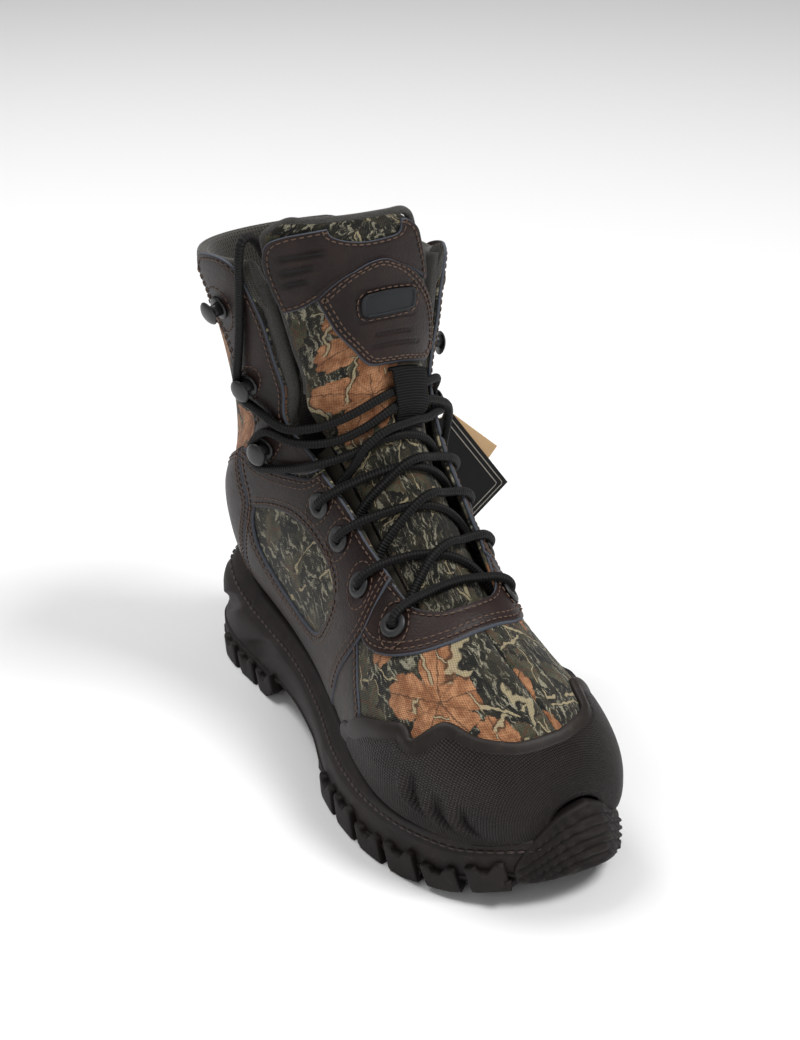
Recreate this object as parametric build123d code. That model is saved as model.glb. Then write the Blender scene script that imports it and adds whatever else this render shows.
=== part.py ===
"""Insulated lace-up hunting boot for the right foot: sole unit, insulated bootie, layered upper, padded
tongue, eyelets, speed hooks, lace and hang tags, each as a separate solid.

Frame: millimetres, +Z up, the toe points along -Y and the outer (lateral) side of the boot is -X.
The origin lies on the ground under the middle of the boot.

The upper is described by a row of flat sections. Each section plane holds the X direction and runs from a
point on the ridge (top of the foot, then front of the shin) to a point on the base line (under the foot,
round the heel, then up the back of the shaft). An angle goes round each section: 0 is the ridge, negative
angles are lateral, positive ones medial, and 180 is the base line. Layers are set off from the outer face
of the fabric, outwards positive.
"""

import math
import os

from build123d import *

# ---------------------------------------------------------------- driving dimensions
CENTRE = (0.09, 1.25)         # middle of the boot's plan box in the sections' own frame
FABRIC = (-1.2, 0.0)          # inner and outer face of the fabric upper
STIFFENER = (-2.6, -1.6)      # toe puff, heel counter and insole board
INSULATION = (-6.6, -3.0)
LINING = (-7.5, -6.8)
LEATHER = (0.25, 1.9)         # overlays sewn on the fabric
SADDLE = (0.8, 1.9)           # the vamp saddle stands a little higher, over the bend of the instep
RUBBER = (0.7, 2.7)           # toe cap
FOOTBED = (-12.4, -8.2)
SOLE_CLEARANCE = 2.95         # the cup of the midsole stands this far off the fabric
TONGUE_THICKNESS = 7.0
TONGUE_SPLIT = 12.15          # station of the fold where the tongue tips forward
EYELET_HOLE_R = 3.4
EYELET_BORE_R = 2.75
EYELET_FLANGE_R = 6.6
HOOK_HALF = (7.4, 6.2, 8.4)   # half length, half width and height of a hook's dome
HOOK_NECK_R = 2.3
RIVET_R = 1.7
WASHER_R = 4.5
LACE_R = 2.2
GAP = 0.2                     # clearance between pieces that touch on the real boot
LUG_DEPTH = 4.5
LUG_GROOVE = 4.2
AGLET = (1.9, 18.0)           # radius and length of a lace tip
TAG_CORD_R = 0.7
TONGUE_TOP = 17.7             # station of the tongue's top edge

# ---------------------------------------------------------------- sections of the upper
# ridge y, ridge z, base y, base z, ridge x, base x, lateral half width, medial half width,
# height share of the widest point, roundness of the upper half, roundness of the lower half
SECTIONS = [
    (-147, 50, -147, 34, 9, 9, 14, 12, 0.45, 2.0, 2.2),
    (-142, 64, -144, 27, 9, 9, 31, 24, 0.42, 2.1, 2.6),
    (-128, 76, -133, 24, 8, 7, 45, 35, 0.38, 2.2, 3.0),
    (-106, 87, -112, 22, 6, 4, 54, 43, 0.36, 2.2, 3.2),
    (-82, 98, -86, 21, 4, 1, 57, 45, 0.34, 2.1, 3.2),
    (-59, 111, -54, 21, 4, 0, 54, 45, 0.33, 2.0, 3.0),
    (-39, 126, -18, 23, 5, 2, 48, 45, 0.33, 2.0, 2.8),
    (-22, 140, 22, 27, 6, 4, 42, 43, 0.36, 2.1, 2.6),
    (-9, 153, 60, 32, 7, 5, 40, 42, 0.40, 2.2, 2.5),
    (1, 165, 92, 36, 7, 5, 40, 42, 0.45, 2.2, 2.5),
    (8, 177, 122, 42, 7, 5, 41, 42, 0.48, 2.3, 2.5),
    (12, 188, 141, 58, 6, 5, 43, 43, 0.50, 2.3, 2.3),
    (15, 199, 142, 84, 5, 4, 45, 44, 0.50, 2.3, 2.2),
    (16, 211, 129, 114, 4, 4, 44, 46, 0.50, 2.3, 2.2),
    (16, 223, 118, 148, 2, 3, 47, 49, 0.50, 2.4, 2.2),
    (15, 237, 118, 185, 1, 1, 51, 52, 0.50, 2.4, 2.2),
    (13, 252, 122, 222, 0, 0, 58, 56, 0.50, 2.4, 2.2),
]
LAST = len(SECTIONS) - 1
GRID = 0.5                    # layers are drawn through every half station

# ---------------------------------------------------------------- sole
# plan outline of the outsole: lateral side from the toe to the heel, then the medial side back
SOLE_OUTLINE = [
    (12, -156), (-16, -149), (-40, -128), (-54, -98), (-59, -64), (-55, -28), (-45, 6), (-38, 42),
    (-37, 80), (-37, 114), (-29, 142), (-10, 156), (6, 158.5), (22, 156), (41, 142), (49, 114),
    (49, 80), (48, 42), (50, 6), (52, -28), (52, -64), (51, -98), (44, -128), (30, -148),
]
# side profiles as (y, z)
GROUND = [(-170, 26), (-150, 12), (-125, 4), (-100, 0), (-5, 0), (8, 8), (60, 9), (70, 0), (146, 0), (170, 9)]
OUTSOLE_TOP = [(-170, 32), (-150, 20), (-125, 12), (-100, 9), (-5, 9), (8, 12.5), (60, 14), (72, 12), (170, 18)]
MIDSOLE_TOP = [(-170, 40), (-150, 33), (-125, 29), (-60, 28), (-20, 29), (20, 34), (70, 41), (110, 47), (170, 63)]
BUMPER_TOP = [(-170, 50), (-150, 46), (-140, 38), (-128, 26), (-118, 15)]
FORE_GROOVES = [-121, -102, -83, -64, -45, -26]
HEEL_GROOVES = [86, 104, 122]


def along(*points):
    """A value that changes in straight steps along the stations."""

    def value(at):
        if at <= points[0][0]:
            return points[0][1]
        for (a, va), (b, vb) in zip(points, points[1:]):
            if at <= b:
                return va + (vb - va) * (at - a) / (b - a)
        return points[-1][1]

    return value


# Front edge of each side of the upper, edge of the bootie, and edges and face of the tongue.
EDGE_LATERAL = along((5, 27), (6, 33), (7, 40), (8, 44), (9, 48), (10, 51), (11, 56), (12, 59), (14, 62), (16, 63))
EDGE_MEDIAL = along((5, 27), (6, 32), (7, 40), (8, 42), (10, 44), (12, 46), (13, 48), (14, 50), (15, 53), (16, 57))
LINER_LATERAL = along((5, 56), (6, 62), (7, 66), (9, 70), (10, 68), (11, 63), (12, 61), (16, 62))
LINER_MEDIAL = along((5, 56), (6, 62), (7, 66), (9, 67), (10, 60), (11, 53), (12, 49), (14, 50), (16, 54))
TONGUE_LATERAL = along((5, 24), (6, 31), (7, 38), (8, 42), (10, 46), (12, 50), (15, 51), (17, 48), (18, 42))
TONGUE_MEDIAL = along((5, 24), (6, 31), (7, 38), (8, 40), (12, 43), (13, 42), (14.6, 33), (16.6, 21), (18, 12))
TONGUE_FACE = along((5, -6.6), (9, -6.6), (10, -5.4), (11, -3.8), (12, -2.0), (13, -0.6), (15, 0.9), (17, 1.6))
LASTED_EDGE = along((5, 119), (7, 146), (8, 146), (9, 150), (10, 164), (10.8, 179.4), (16, 179.4))

# Station and angle of each eyelet and hook, from the toe up.
EYELETS = {-1: [(5.3, 39), (6.6, 51), (7.8, 54), (8.9, 57)], 1: [(5.3, 39), (6.6, 49), (7.8, 53), (8.9, 55)]}
HOOKS = {-1: [(11.5, 73), (13.8, 84), (15.5, 92)], 1: [(11.5, 64), (13.8, 78), (15.3, 86)]}
SIDES = {-1: "lateral", 1: "medial"}


# ---------------------------------------------------------------- lace
# Route of the lace as (station, angle, height over the fabric), from the tip tucked in beside the tongue to
# the tip that hangs on the medial side.
LACE = [
    # tip inside the collar, over its edge and down the lateral facing
    (14.4, -62, -12), (15.3, -57.5, -11.4), (16.1, -54, -10.8), (16.8, -54, -8.5), (17.25, -54, -3.5),
    (17.15, -56, 2.8), (16.65, -59, 5.2), (16.1, -63, 5), (15.5, -68.5, 5), (14.95, -76, 5), (14.45, -83, 5.3),
    # round the middle lateral hook, over the facing and through the keeper
    (14.0, -89.5, 5.9), (13.62, -89.5, 5.9), (13.0, -77, 5.2), (12.3, -66, 5), (11.55, -58, 4.9), (11.1, -50, 2.5),
    (10.8, -39, -0.2), (10.75, -26, -1.2), (10.9, -12, -1.1), (11.1, 2, -0.8), (11.25, 14, -0.6), (11.3, 27, -0.4),
    # over the medial facing, round the lowest medial hook and across to the fourth lateral eyelet
    (11.55, 37, 1.8), (11.85, 47, 5.0), (11.95, 58, 5.6), (11.83, 71, 5.9),
    (11.17, 71, 5.9), (11.0, 58, 5.4),
    (10.6, 47, 4.9), (10.3, 38, 0.5), (10.0, 29, -2.5), (9.9, 17, -2.6), (9.75, 3, -2), (9.62, -12, 1.4),
    (9.42, -26, 1.2), (9.2, -37, -4), (9.12, -48, -4.05), (8.9, -57, -4.05), (8.9, -57, 5.9), (8.8, -47, 5),
    # third medial eyelet
    (8.72, -37, -0.8), (8.66, -28, -3.2), (8.56, -15, -3.9), (8.46, 0, -4.05), (8.34, 16, -4.05), (8.2, 31, -4.05),
    (8.05, 44, -4.05), (7.8, 53, -4.05), (7.8, 53, 5.9), (7.72, 42, 4.9), (7.66, 32, -1), (7.56, 21, -3),
    # second lateral eyelet
    (7.44, 9, 0.6), (7.32, -3, 0.6), (7.2, -15, -3), (7.06, -29, -4.05), (6.9, -41, -4.05), (6.6, -51, -4.05),
    (6.6, -51, 5.9), (6.5, -39, 4.9), (6.42, -29, -1), (6.34, -19, -3.6), (6.18, -7, -4.05), (6.02, 7, -4.05),
    # first medial eyelet and the bar to the first lateral one
    (5.85, 20, -4.05), (5.6, 30, -4.05), (5.3, 39, -4.05), (5.3, 39, 5.9), (5.36, 29, 5.1), (5.45, 18, -1.5),
    (5.5, 6, -3.9), (5.5, -8, -3.9), (5.45, -19, -1.5), (5.36, -30, 5.1), (5.3, -39, 5.9), (5.3, -39, -4.05),
    # second medial eyelet
    (5.6, -30, -4.05), (5.85, -20, -4.05), (6.02, -8, 0.6), (6.18, 5, 0.6), (6.34, 18, -3), (6.44, 28, -0.8),
    (6.52, 37, 5), (6.6, 49, 5.9), (6.6, 49, -4.05), (6.9, 40, -4.05), (7.08, 28, -4.05), (7.2, 14, -4.05),
    # third lateral eyelet
    (7.32, -2, -4.05), (7.44, -17, -3.8), (7.56, -30, -2.5), (7.66, -42, 4.8), (7.8, -54, 5.9), (7.8, -54, -4.05),
    (8.05, -45, -4.05), (8.2, -32, -4.05), (8.32, -18, -3.6), (8.42, -6, 0.6), (8.52, 7, 0.6), (8.64, 20, -3),
    # fourth medial eyelet
    (8.74, 32, -0.8), (8.8, 43, 4.9), (8.9, 55, 5.9), (8.9, 55, -4.05), (9.15, 46, -4.05), (9.3, 34, -3.9),
    # lowest lateral hook
    (9.4, 20, -3.7), (9.46, 5, -3.6), (9.5, -10, -3.5), (9.5, -24, -3.5), (9.58, -38, -2.2), (9.78, -49, 4.8),
    (10.2, -59, 4.9), (10.7, -69, 5.3), (11.17, -78.6, 5.9), (11.83, -78.6, 5.9), (12.0, -69, 5.4), (11.6, -62, 5),
    # through the keeper and over the medial facing to the other tip
    (10.95, -56, 4.8), (10.4, -47, 1.5), (10.1, -36, -1.3), (10.08, -22, -2.3), (10.3, -8, -2), (10.55, 3, -1.7),
    (10.65, 14, -1.5), (10.7, 27, -1.4), (10.75, 38, 3.5), (10.72, 49, 9.6), (10.5, 60, 9.9), (10.0, 68, 7.8),
    (9.4, 72, 5.2), (8.7, 73, 4.7), (8.0, 75, 4.7),
]
# Hang tags hang flat across the boot beside the medial ankle; outlines as (x, z).
TAG_Y = 56.0
TAG_CARD = [(63.1, 153.5), (103.6, 98.9), (79.7, 80.8), (54.5, 114.8), (54.5, 147.1)]
TAG_KRAFT = [(97.2, 121.2), (85.1, 107.8), (57.5, 132.0), (58.0, 156.0)]
TAG_HOLE = (61.0, 147.5)
TAG_HOLE_R = 2.5
TAG_CORD = [(51.5, 47.0, 165.5), (55.5, 50.5, 158.5), (60.5, 54.2, 149.5), (61.0, 60.0, 147.2)]

# ---------------------------------------------------------------- geometry of the sections
def section_row(at):
    """The row of SECTIONS at a fractional station: a smooth curve inside the table, straight beyond it."""
    if at < 0 or at > LAST:
        edge, step = (0, 1) if at < 0 else (LAST, -1)
        a, b = SECTIONS[edge], SECTIONS[edge + step]
        return [x + (y - x) * (at - edge) * step for x, y in zip(a, b)]
    i = min(int(at), LAST - 1)
    t = at - i
    before, here, after, beyond = (SECTIONS[max(0, min(LAST, k))] for k in (i - 1, i, i + 1, i + 2))
    return [
        (2 * t**3 - 3 * t**2 + 1) * b
        + (t**3 - 2 * t**2 + t) * (c - a) / 2
        + (3 * t**2 - 2 * t**3) * c
        + (t**3 - t**2) * (d - b) / 2
        for a, b, c, d in zip(before, here, after, beyond)
    ]


def section_point(at, angle, offset=0.0):
    """A point of the section at a station, set off square to the section's outline in its own plane."""
    ty, tz, by, bz, tx, bx, lateral, medial, widest, upper, lower = section_row(at)
    height = math.hypot(ty - by, tz - bz)

    def flat(radians):
        s, c = math.sin(radians), math.cos(radians)
        mix = min(1.0, max(0.0, (c + 0.25) / 0.5))
        n = lower + (upper - lower) * mix * mix * (3 - 2 * mix)
        r = (abs(s) ** n + abs(c) ** n) ** (-1 / n)
        share = widest + ((1 - widest) if c > 0 else widest) * r * c
        return bx + (tx - bx) * share + (lateral if s < 0 else medial) * r * s, share * height

    a, step = math.radians(angle), 1e-3
    x0, h0 = flat(a - step)
    x1, h1 = flat(a + step)
    x, h = flat(a)
    size = math.hypot(x1 - x0, h1 - h0)
    x -= offset * (h1 - h0) / size
    share = (h + offset * (x1 - x0) / size) / height
    return Vector(x, by + (ty - by) * share, bz + (tz - bz) * share)


def frame_at(at, angle, offset):
    """A plane on the surface: z points outwards and x runs round the section, away from the ridge."""
    here = section_point(at, angle, offset)
    side = 1 if angle > 0 else -1
    away = (section_point(at, angle + side, offset) - section_point(at, angle - side, offset)).normalized()
    along_boot = section_point(at + 0.05, angle, offset) - section_point(at - 0.05, angle, offset)
    out = away.cross(along_boot).normalized()
    if out.dot(section_point(at, angle, offset + 1) - here) < 0:
        out = out * -1
    return Plane(origin=here, x_dir=away, z_dir=out)


def value_at(value, at):
    return value(at) if callable(value) else value


def side_curve(at, start, end, offset, count):
    return Edge.make_spline(
        [section_point(at, start + (end - start) * k / (count - 1), offset) for k in range(count)]
    )


def panel(first, last, low, high, layer, extra=()):
    """A layer between two stations and two angles; angles and layer faces may change with the station."""
    inner = [k * GRID for k in range(int(LAST / GRID) + 8) if first + 0.05 < k * GRID < last - 0.05]
    stations = sorted([first, last, *inner, *extra])
    widest = max(value_at(high, at) - value_at(low, at) for at in stations)
    count = max(4, int(widest / 12) + 2)
    wires = []
    for at in stations:
        a, b = value_at(low, at), value_at(high, at)
        outer = side_curve(at, a, b, value_at(layer[1], at), count)
        inner = side_curve(at, b, a, value_at(layer[0], at), count)
        ends = (Edge.make_line(outer @ 1, inner @ 0), Edge.make_line(inner @ 1, outer @ 0))
        wires.append(Wire([outer, ends[0], inner, ends[1]]))
    return Solid.make_loft(wires, ruled=True)


def side_panel(side, first, last, near, far, layer, extra=()):
    """A panel on one side of the boot; near and far are angles from the ridge."""
    if side > 0:
        return panel(first, last, near, far, layer, extra)
    return panel(first, last, lambda at: -value_at(far, at), lambda at: -value_at(near, at), layer, extra)


def round_back(first, last, near, layer, extra=()):
    """A panel that goes round the back or under the foot, from the medial side to the lateral side."""
    return panel(first, last, near, lambda at: 360 - value_at(near, at), layer, extra)


def closed_form(first, last, offset, count=28):
    """The whole closed form between two stations, set off by one amount."""
    spans = math.ceil(last - first)
    wires = []
    for k in range(spans + 1):
        at = first + (last - first) * k / spans
        points = [section_point(at, 360 * j / count, offset) for j in range(count)]
        wires.append(Wire([Edge.make_spline(points, periodic=True)]))
    return Solid.make_loft(wires)


def drill(solid, side, places, radius):
    """Round holes square to the surface at each place."""
    for at, angle in places:
        solid = solid - frame_at(at, side * angle, 0) * Cylinder(radius, 24)
    return solid


def save(name, shape):
    """Writes one sub-part with the boot's plan centre moved to the origin."""
    export_step(Pos(-CENTRE[0], -CENTRE[1], 0) * shape, f"parts/{name}.step")


# ---------------------------------------------------------------- sole unit
def profile_prism(top, bottom):
    """Everything between two side profiles, across the whole width of the boot."""
    corners = [Vector(-90, y, z) for y, z in top + bottom[::-1]]
    return extrude(Face(Wire.make_polygon(corners, close=True)), amount=180, dir=(1, 0, 0))


def outline_prism(inset, low, high):
    """The plan outline of the sole, drawn in by an inset, between two heights."""
    count = len(SOLE_OUTLINE)
    points = []
    for k, (x, y) in enumerate(SOLE_OUTLINE):
        (x0, y0), (x1, y1) = SOLE_OUTLINE[k - 1], SOLE_OUTLINE[(k + 1) % count]
        size = math.hypot(x1 - x0, y1 - y0)
        points.append(Vector(x + inset * (y1 - y0) / size, y - inset * (x1 - x0) / size, low))
    face = Face(Wire([Edge.make_spline(points, periodic=True)]))
    return extrude(face, amount=high - low, dir=(0, 0, 1))


def height_on(profile, y):
    return along(*profile)(y)


def build_sole():
    form = closed_form(0, 13, SOLE_CLEARANCE)
    tread = outline_prism(0, -10, 80) & profile_prism(OUTSOLE_TOP, GROUND)
    for y in FORE_GROOVES + HEEL_GROOVES:
        top = height_on(GROUND, y) + LUG_DEPTH
        for side in (-1, 1):
            cut = Rot(0, 0, side * 14) * Box(44, LUG_GROOVE, 20)
            tread = tread - Pos(4 + side * 38, y, top - 10) * cut
    bumper = outline_prism(0, 0, 80) & profile_prism(BUMPER_TOP, [(-170, 28), (-150, 14), (-118, 8)])
    bumper = bumper - form
    save("outsole", (tread - form) + bumper)

    middle = outline_prism(1.2, 0, 80) & profile_prism(MIDSOLE_TOP, OUTSOLE_TOP)
    middle = middle - form - bumper
    place = Pos(3, 28, 20.5) * Rot(5.7, 0, 0)
    save("shank", place * Box(16, 96, 1.6))
    save("midsole", middle - place * Box(16.4, 96.4, 2.0))


def build_inside():
    # the bootie is sewn along the ridge as far as the throat
    seam = along((4.7, 0.6), (5.2, 57))
    near = lambda at: seam(at) if at < 5.2 else LINER_MEDIAL(at)
    far = lambda at: 360 - (seam(at) if at < 5.2 else LINER_LATERAL(at))
    for name, layer in (("insulation", INSULATION), ("lining", LINING)):
        save(name, panel(0.8, 15.8, near, far, layer, (4.7, 5.2)))
    save("collar_padding", panel(16, 16.4, LINER_MEDIAL, lambda at: 360 - LINER_LATERAL(at), (LINING[0], -0.2)))
    save("toe_puff", panel(1, 4, -112, 112, STIFFENER))
    save("heel_counter", round_back(10.5, 12, 100, STIFFENER))
    save("insole_board", round_back(1, 10, 126, STIFFENER))
    save("footbed", round_back(1.4, 10.2, 134, FOOTBED))


def build_upper():
    # the fabric is closed under the foot, as a sewn sock is, and opens at the throat
    def near_throat(edge):
        seam = along((4.7, 0.6), (5.0, 27))
        return lambda at: seam(at) if at < 5 else edge(at)

    near, far = near_throat(EDGE_MEDIAL), near_throat(EDGE_LATERAL)
    vamp = panel(0.5, 6.95, near, lambda at: 360 - far(at), FABRIC, (4.7,))
    for side in SIDES:
        vamp = drill(vamp, side, EYELETS[side][:2], EYELET_HOLE_R)
    save("vamp_fabric", vamp)

    # the cap is lasted under the foot; its upper edge falls back along each side
    cap_edge = along(
        (0, 0.6), (1.8, 0.6), (1.95, 12), (2.4, 34), (3.2, 42), (3.4, 52), (3.9, 58), (4.4, 67), (5.4, 88), (5.8, 112)
    )
    cap_inner = along((0, -6), (0.3, -6), (0.45, RUBBER[0]))
    cap = panel(0, 5.8, cap_edge, lambda at: 360 - cap_edge(at), (cap_inner, RUBBER[1]), (0.3, 0.45, 1.8, 1.95, 3.25))
    save("toe_cap", cap)

    low = along((4.2, 0.5), (4.85, 0.5), (5.3, 26), (5.9, 34))
    high = along((4.2, 14), (4.85, 46), (5.9, 62))
    halves = []
    for side in SIDES:
        half = side_panel(side, 4.2, 5.9, low, high, SADDLE, (4.85, 5.3))
        halves.append(drill(half, side, EYELETS[side][:1], EYELET_HOLE_R))
    save("vamp_saddle", Compound(halves))

    backstay = along((9.9, 135), (10.8, 98.5), (12.3, 94))
    save("heel_backstay", round_back(9.9, 12.3, backstay, LEATHER, (10.25, 10.75)))
    for side, name in SIDES.items():
        edge = EDGE_LATERAL if side < 0 else EDGE_MEDIAL
        fabric = side_panel(side, 7, 15.9, edge, LASTED_EDGE, FABRIC)
        fabric = drill(fabric, side, EYELETS[side][2:], EYELET_HOLE_R)
        save(f"quarter_fabric_{name}", drill(fabric, side, HOOKS[side], RIVET_R + 0.15))
        save(f"quarter_overlay_{name}", quarter_overlay(side, edge, backstay))
        strap_top = along((9.4, 52), (10.3, 65), (11.3, 80), (12.2, 89))
        behind = along((12.2, 29), (13, 35), (16.3, 38))
        far = lambda at: min(strap_top(at) - 0.4, 78 + (at - 11) * 4.6) if at < 12.2 else edge(at) + behind(at)
        facing = side_panel(side, 9.8, 16.3, edge, far, LEATHER)
        facing = drill(facing, side, HOOKS[side], RIVET_R + 0.15)
        save(f"hook_facing_{name}", facing)


def quarter_overlay(side, edge, backstay):
    """The side leather with its eyelet row, ankle strap and fabric window."""
    strap_top = along((9.4, 52), (10.3, 65), (11.3, 80), (12.2, 89.5))
    near = lambda at: edge(at) if at <= 9.4 else max(edge(at), strap_top(at) + 0.2)
    far = lambda at: min(134.5, LASTED_EDGE(at)) if at < 9.9 else backstay(at) - 0.5
    leather = side_panel(side, 6.1, 12.2, near, far, LEATHER, (9.75, 10.25, 10.75))
    window_near = along((7.1, 74), (7.4, 66), (8.2, 67), (9.0, 71), (9.8, 77), (10.4, 90))
    window_far = along((7.1, 76), (7.4, 99), (8.05, 106), (9.1, 108), (9.9, 104), (10.4, 96))
    window = side_panel(side, 7.1, 10.4, window_near, window_far, (-3, 6), (7.25, 9.75))
    return drill(leather - window, side, EYELETS[side][1:], EYELET_HOLE_R)


def on_tongue(low, high):
    return (lambda at: TONGUE_FACE(at) + low, lambda at: TONGUE_FACE(at) + high)


def build_tongue():
    body = on_tongue(-TONGUE_THICKNESS, 0)
    lateral = lambda at: -TONGUE_LATERAL(at)
    save("tongue_lower", panel(5.15, TONGUE_SPLIT - 0.03, lateral, TONGUE_MEDIAL, body))
    save("tongue_upper", panel(TONGUE_SPLIT + 0.03, TONGUE_TOP, lateral, TONGUE_MEDIAL, body))
    leather_low, leather_high = lambda at: 1.5 - TONGUE_LATERAL(at), lambda at: TONGUE_MEDIAL(at) - 1.5
    save("tongue_leather", panel(15.1, 17.3, leather_low, leather_high, on_tongue(0.2, 1.5)))
    shield_low = along((12.25, -8), (13.4, -23), (14.5, -30), (15.25, -32), (15.6, -23), (16.1, -9))
    shield_high = along((12.25, 30), (13, 39), (14.6, 30), (15.7, 15), (16.1, 6))
    save("tongue_shield", panel(12.25, 16.1, shield_low, shield_high, on_tongue(1.95, 3.0)))
    save("tongue_badge", panel(14.25, 15.05, -11, 18, on_tongue(3.2, 4.4)))
    keeper = panel(10.25, 11.9, 1, 27, on_tongue(5.2, 6.3))
    for first in (10.1, 11.9):
        keeper = keeper + panel(first, first + 0.15, 1, 27, on_tongue(0.2, 6.3))
    save("lace_keeper", keeper)
    for side, name in SIDES.items():
        liner, pad = (LINER_LATERAL, TONGUE_LATERAL) if side < 0 else (LINER_MEDIAL, TONGUE_MEDIAL)
        save(f"gusset_{name}", side_panel(side, 5.3, 10.4, lambda at: pad(at) + 1, lambda at: liner(at) - 1, (-8.2, -7.4)))


def build_metal():
    for side, name in SIDES.items():
        rings = []
        for at, angle in EYELETS[side]:
            seat = frame_at(at, side * angle, LEATHER[1] + GAP)
            ring = Pos(0, 0, 0.6) * Cylinder(EYELET_FLANGE_R, 1.2) + Pos(0, 0, -1.5) * Cylinder(EYELET_HOLE_R - 0.1, 4.2)
            rings.append(seat * (ring - Cylinder(EYELET_BORE_R, 12)))
        save(f"eyelets_{name}", Compound(rings))
        hooks, washers = [], []
        for at, angle in HOOKS[side]:
            seat = frame_at(at, side * angle, LEATHER[1] + GAP)
            hooks.append(seat * hook())
            washers.append(frame_at(at, side * angle, STIFFENER[0] + 0.05) * washer())
        save(f"speed_hooks_{name}", Compound(hooks))
        save(f"hook_washers_{name}", Compound(washers))


def hook():
    """A domed hook with a channel for the lace round its neck, on a riveted foot."""
    a, b, c = HOOK_HALF
    dome = scale(Sphere(1), by=(a, b, c)) & Pos(0, 0, c) * Box(40, 40, 2 * c)
    channel = Pos(0, 0, 3.9) * (Cylinder(12, 4.8) - Cylinder(HOOK_NECK_R, 6))
    shank = Pos(0, 0, -2.0) * Cylinder(RIVET_R, 4.0)
    return dome - channel + shank


def washer():
    return Pos(0, 0, 0.4) * (Cylinder(WASHER_R, 0.8) - Cylinder(RIVET_R + 0.15, 4))


def tube(points, radius):
    """A round cord along straight runs joined by tangent arcs, each as large as its runs allow."""
    radii = []
    for before, here, after in zip(points, points[1:], points[2:]):
        turn = math.radians((here - before).get_angle(after - here))
        run = min((here - before).length, (after - here).length)
        radii.append(0.45 * run / math.tan(turn / 2))
    path = Wire(FilletPolyline(*points, radius=radii).edges())
    start = Plane(origin=points[0], z_dir=points[1] - points[0])
    cord = Solid.sweep(Face(Wire.make_circle(radius, start)), path, transition=Transition.ROUND)
    return cord, path.length, radii


def aglet(end, inner):
    """A tube crimped on a lace end, in line with its last run."""
    out = (end - inner).normalized()
    return Plane(origin=end + out * (AGLET[1] / 2), z_dir=out) * Cylinder(AGLET[0], AGLET[1])


def build_lace():
    points = [section_point(*place) for place in LACE]
    cord, length, radii = tube(points, LACE_R)
    print("lace length", round(length), "volume share", cord.volume / (math.pi * LACE_R**2 * length))
    print("radii", [round(r, 1) for r in radii])
    save("lace", cord)
    save("lace_tips", Compound([aglet(points[0], points[1]), aglet(points[-1], points[-2])]))


def build_tags():
    for name, outline, y, thick in (("hang_tag_card", TAG_CARD, TAG_Y, 1.2), ("hang_tag_kraft", TAG_KRAFT, TAG_Y + 1.6, 0.6)):
        face = Face(Wire.make_polygon([Vector(x, y, z) for x, z in outline], close=True))
        tag = extrude(face, amount=thick, dir=(0, 1, 0))
        hole = Pos(TAG_HOLE[0], y, TAG_HOLE[1]) * Rot(90, 0, 0) * Cylinder(TAG_HOLE_R, 10)
        save(name, tag - hole)
    cord, length, radii = tube([Vector(*p) for p in TAG_CORD], TAG_CORD_R)
    print("tag cord length", round(length, 1), radii)
    save("hang_tag_cord", cord)


if __name__ == "__main__":
    os.makedirs("parts", exist_ok=True)
    build_sole()
    build_inside()
    build_upper()
    build_tongue()
    build_metal()
    build_lace()
    build_tags()
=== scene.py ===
import math

import bpy
import numpy as np
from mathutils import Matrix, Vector
from mathutils.geometry import delaunay_2d_cdt


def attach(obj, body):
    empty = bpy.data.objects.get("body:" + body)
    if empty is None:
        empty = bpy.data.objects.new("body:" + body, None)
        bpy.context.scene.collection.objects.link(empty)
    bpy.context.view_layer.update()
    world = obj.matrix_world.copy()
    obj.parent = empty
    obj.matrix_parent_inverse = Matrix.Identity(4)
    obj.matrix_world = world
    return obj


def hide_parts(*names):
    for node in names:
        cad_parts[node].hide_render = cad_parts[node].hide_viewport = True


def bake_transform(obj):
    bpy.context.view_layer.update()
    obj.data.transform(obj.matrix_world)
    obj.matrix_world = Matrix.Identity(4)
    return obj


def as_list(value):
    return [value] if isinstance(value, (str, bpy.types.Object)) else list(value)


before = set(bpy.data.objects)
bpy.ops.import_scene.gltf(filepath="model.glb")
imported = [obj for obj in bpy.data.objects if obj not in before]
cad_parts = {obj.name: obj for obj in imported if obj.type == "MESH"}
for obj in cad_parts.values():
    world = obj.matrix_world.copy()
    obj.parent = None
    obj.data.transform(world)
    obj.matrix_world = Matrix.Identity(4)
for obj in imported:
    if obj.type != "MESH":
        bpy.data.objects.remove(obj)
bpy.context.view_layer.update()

# ------------------------------------------------------------------ shape of the boot, in millimetres
CENTRE = (0.09, 1.25)
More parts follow.
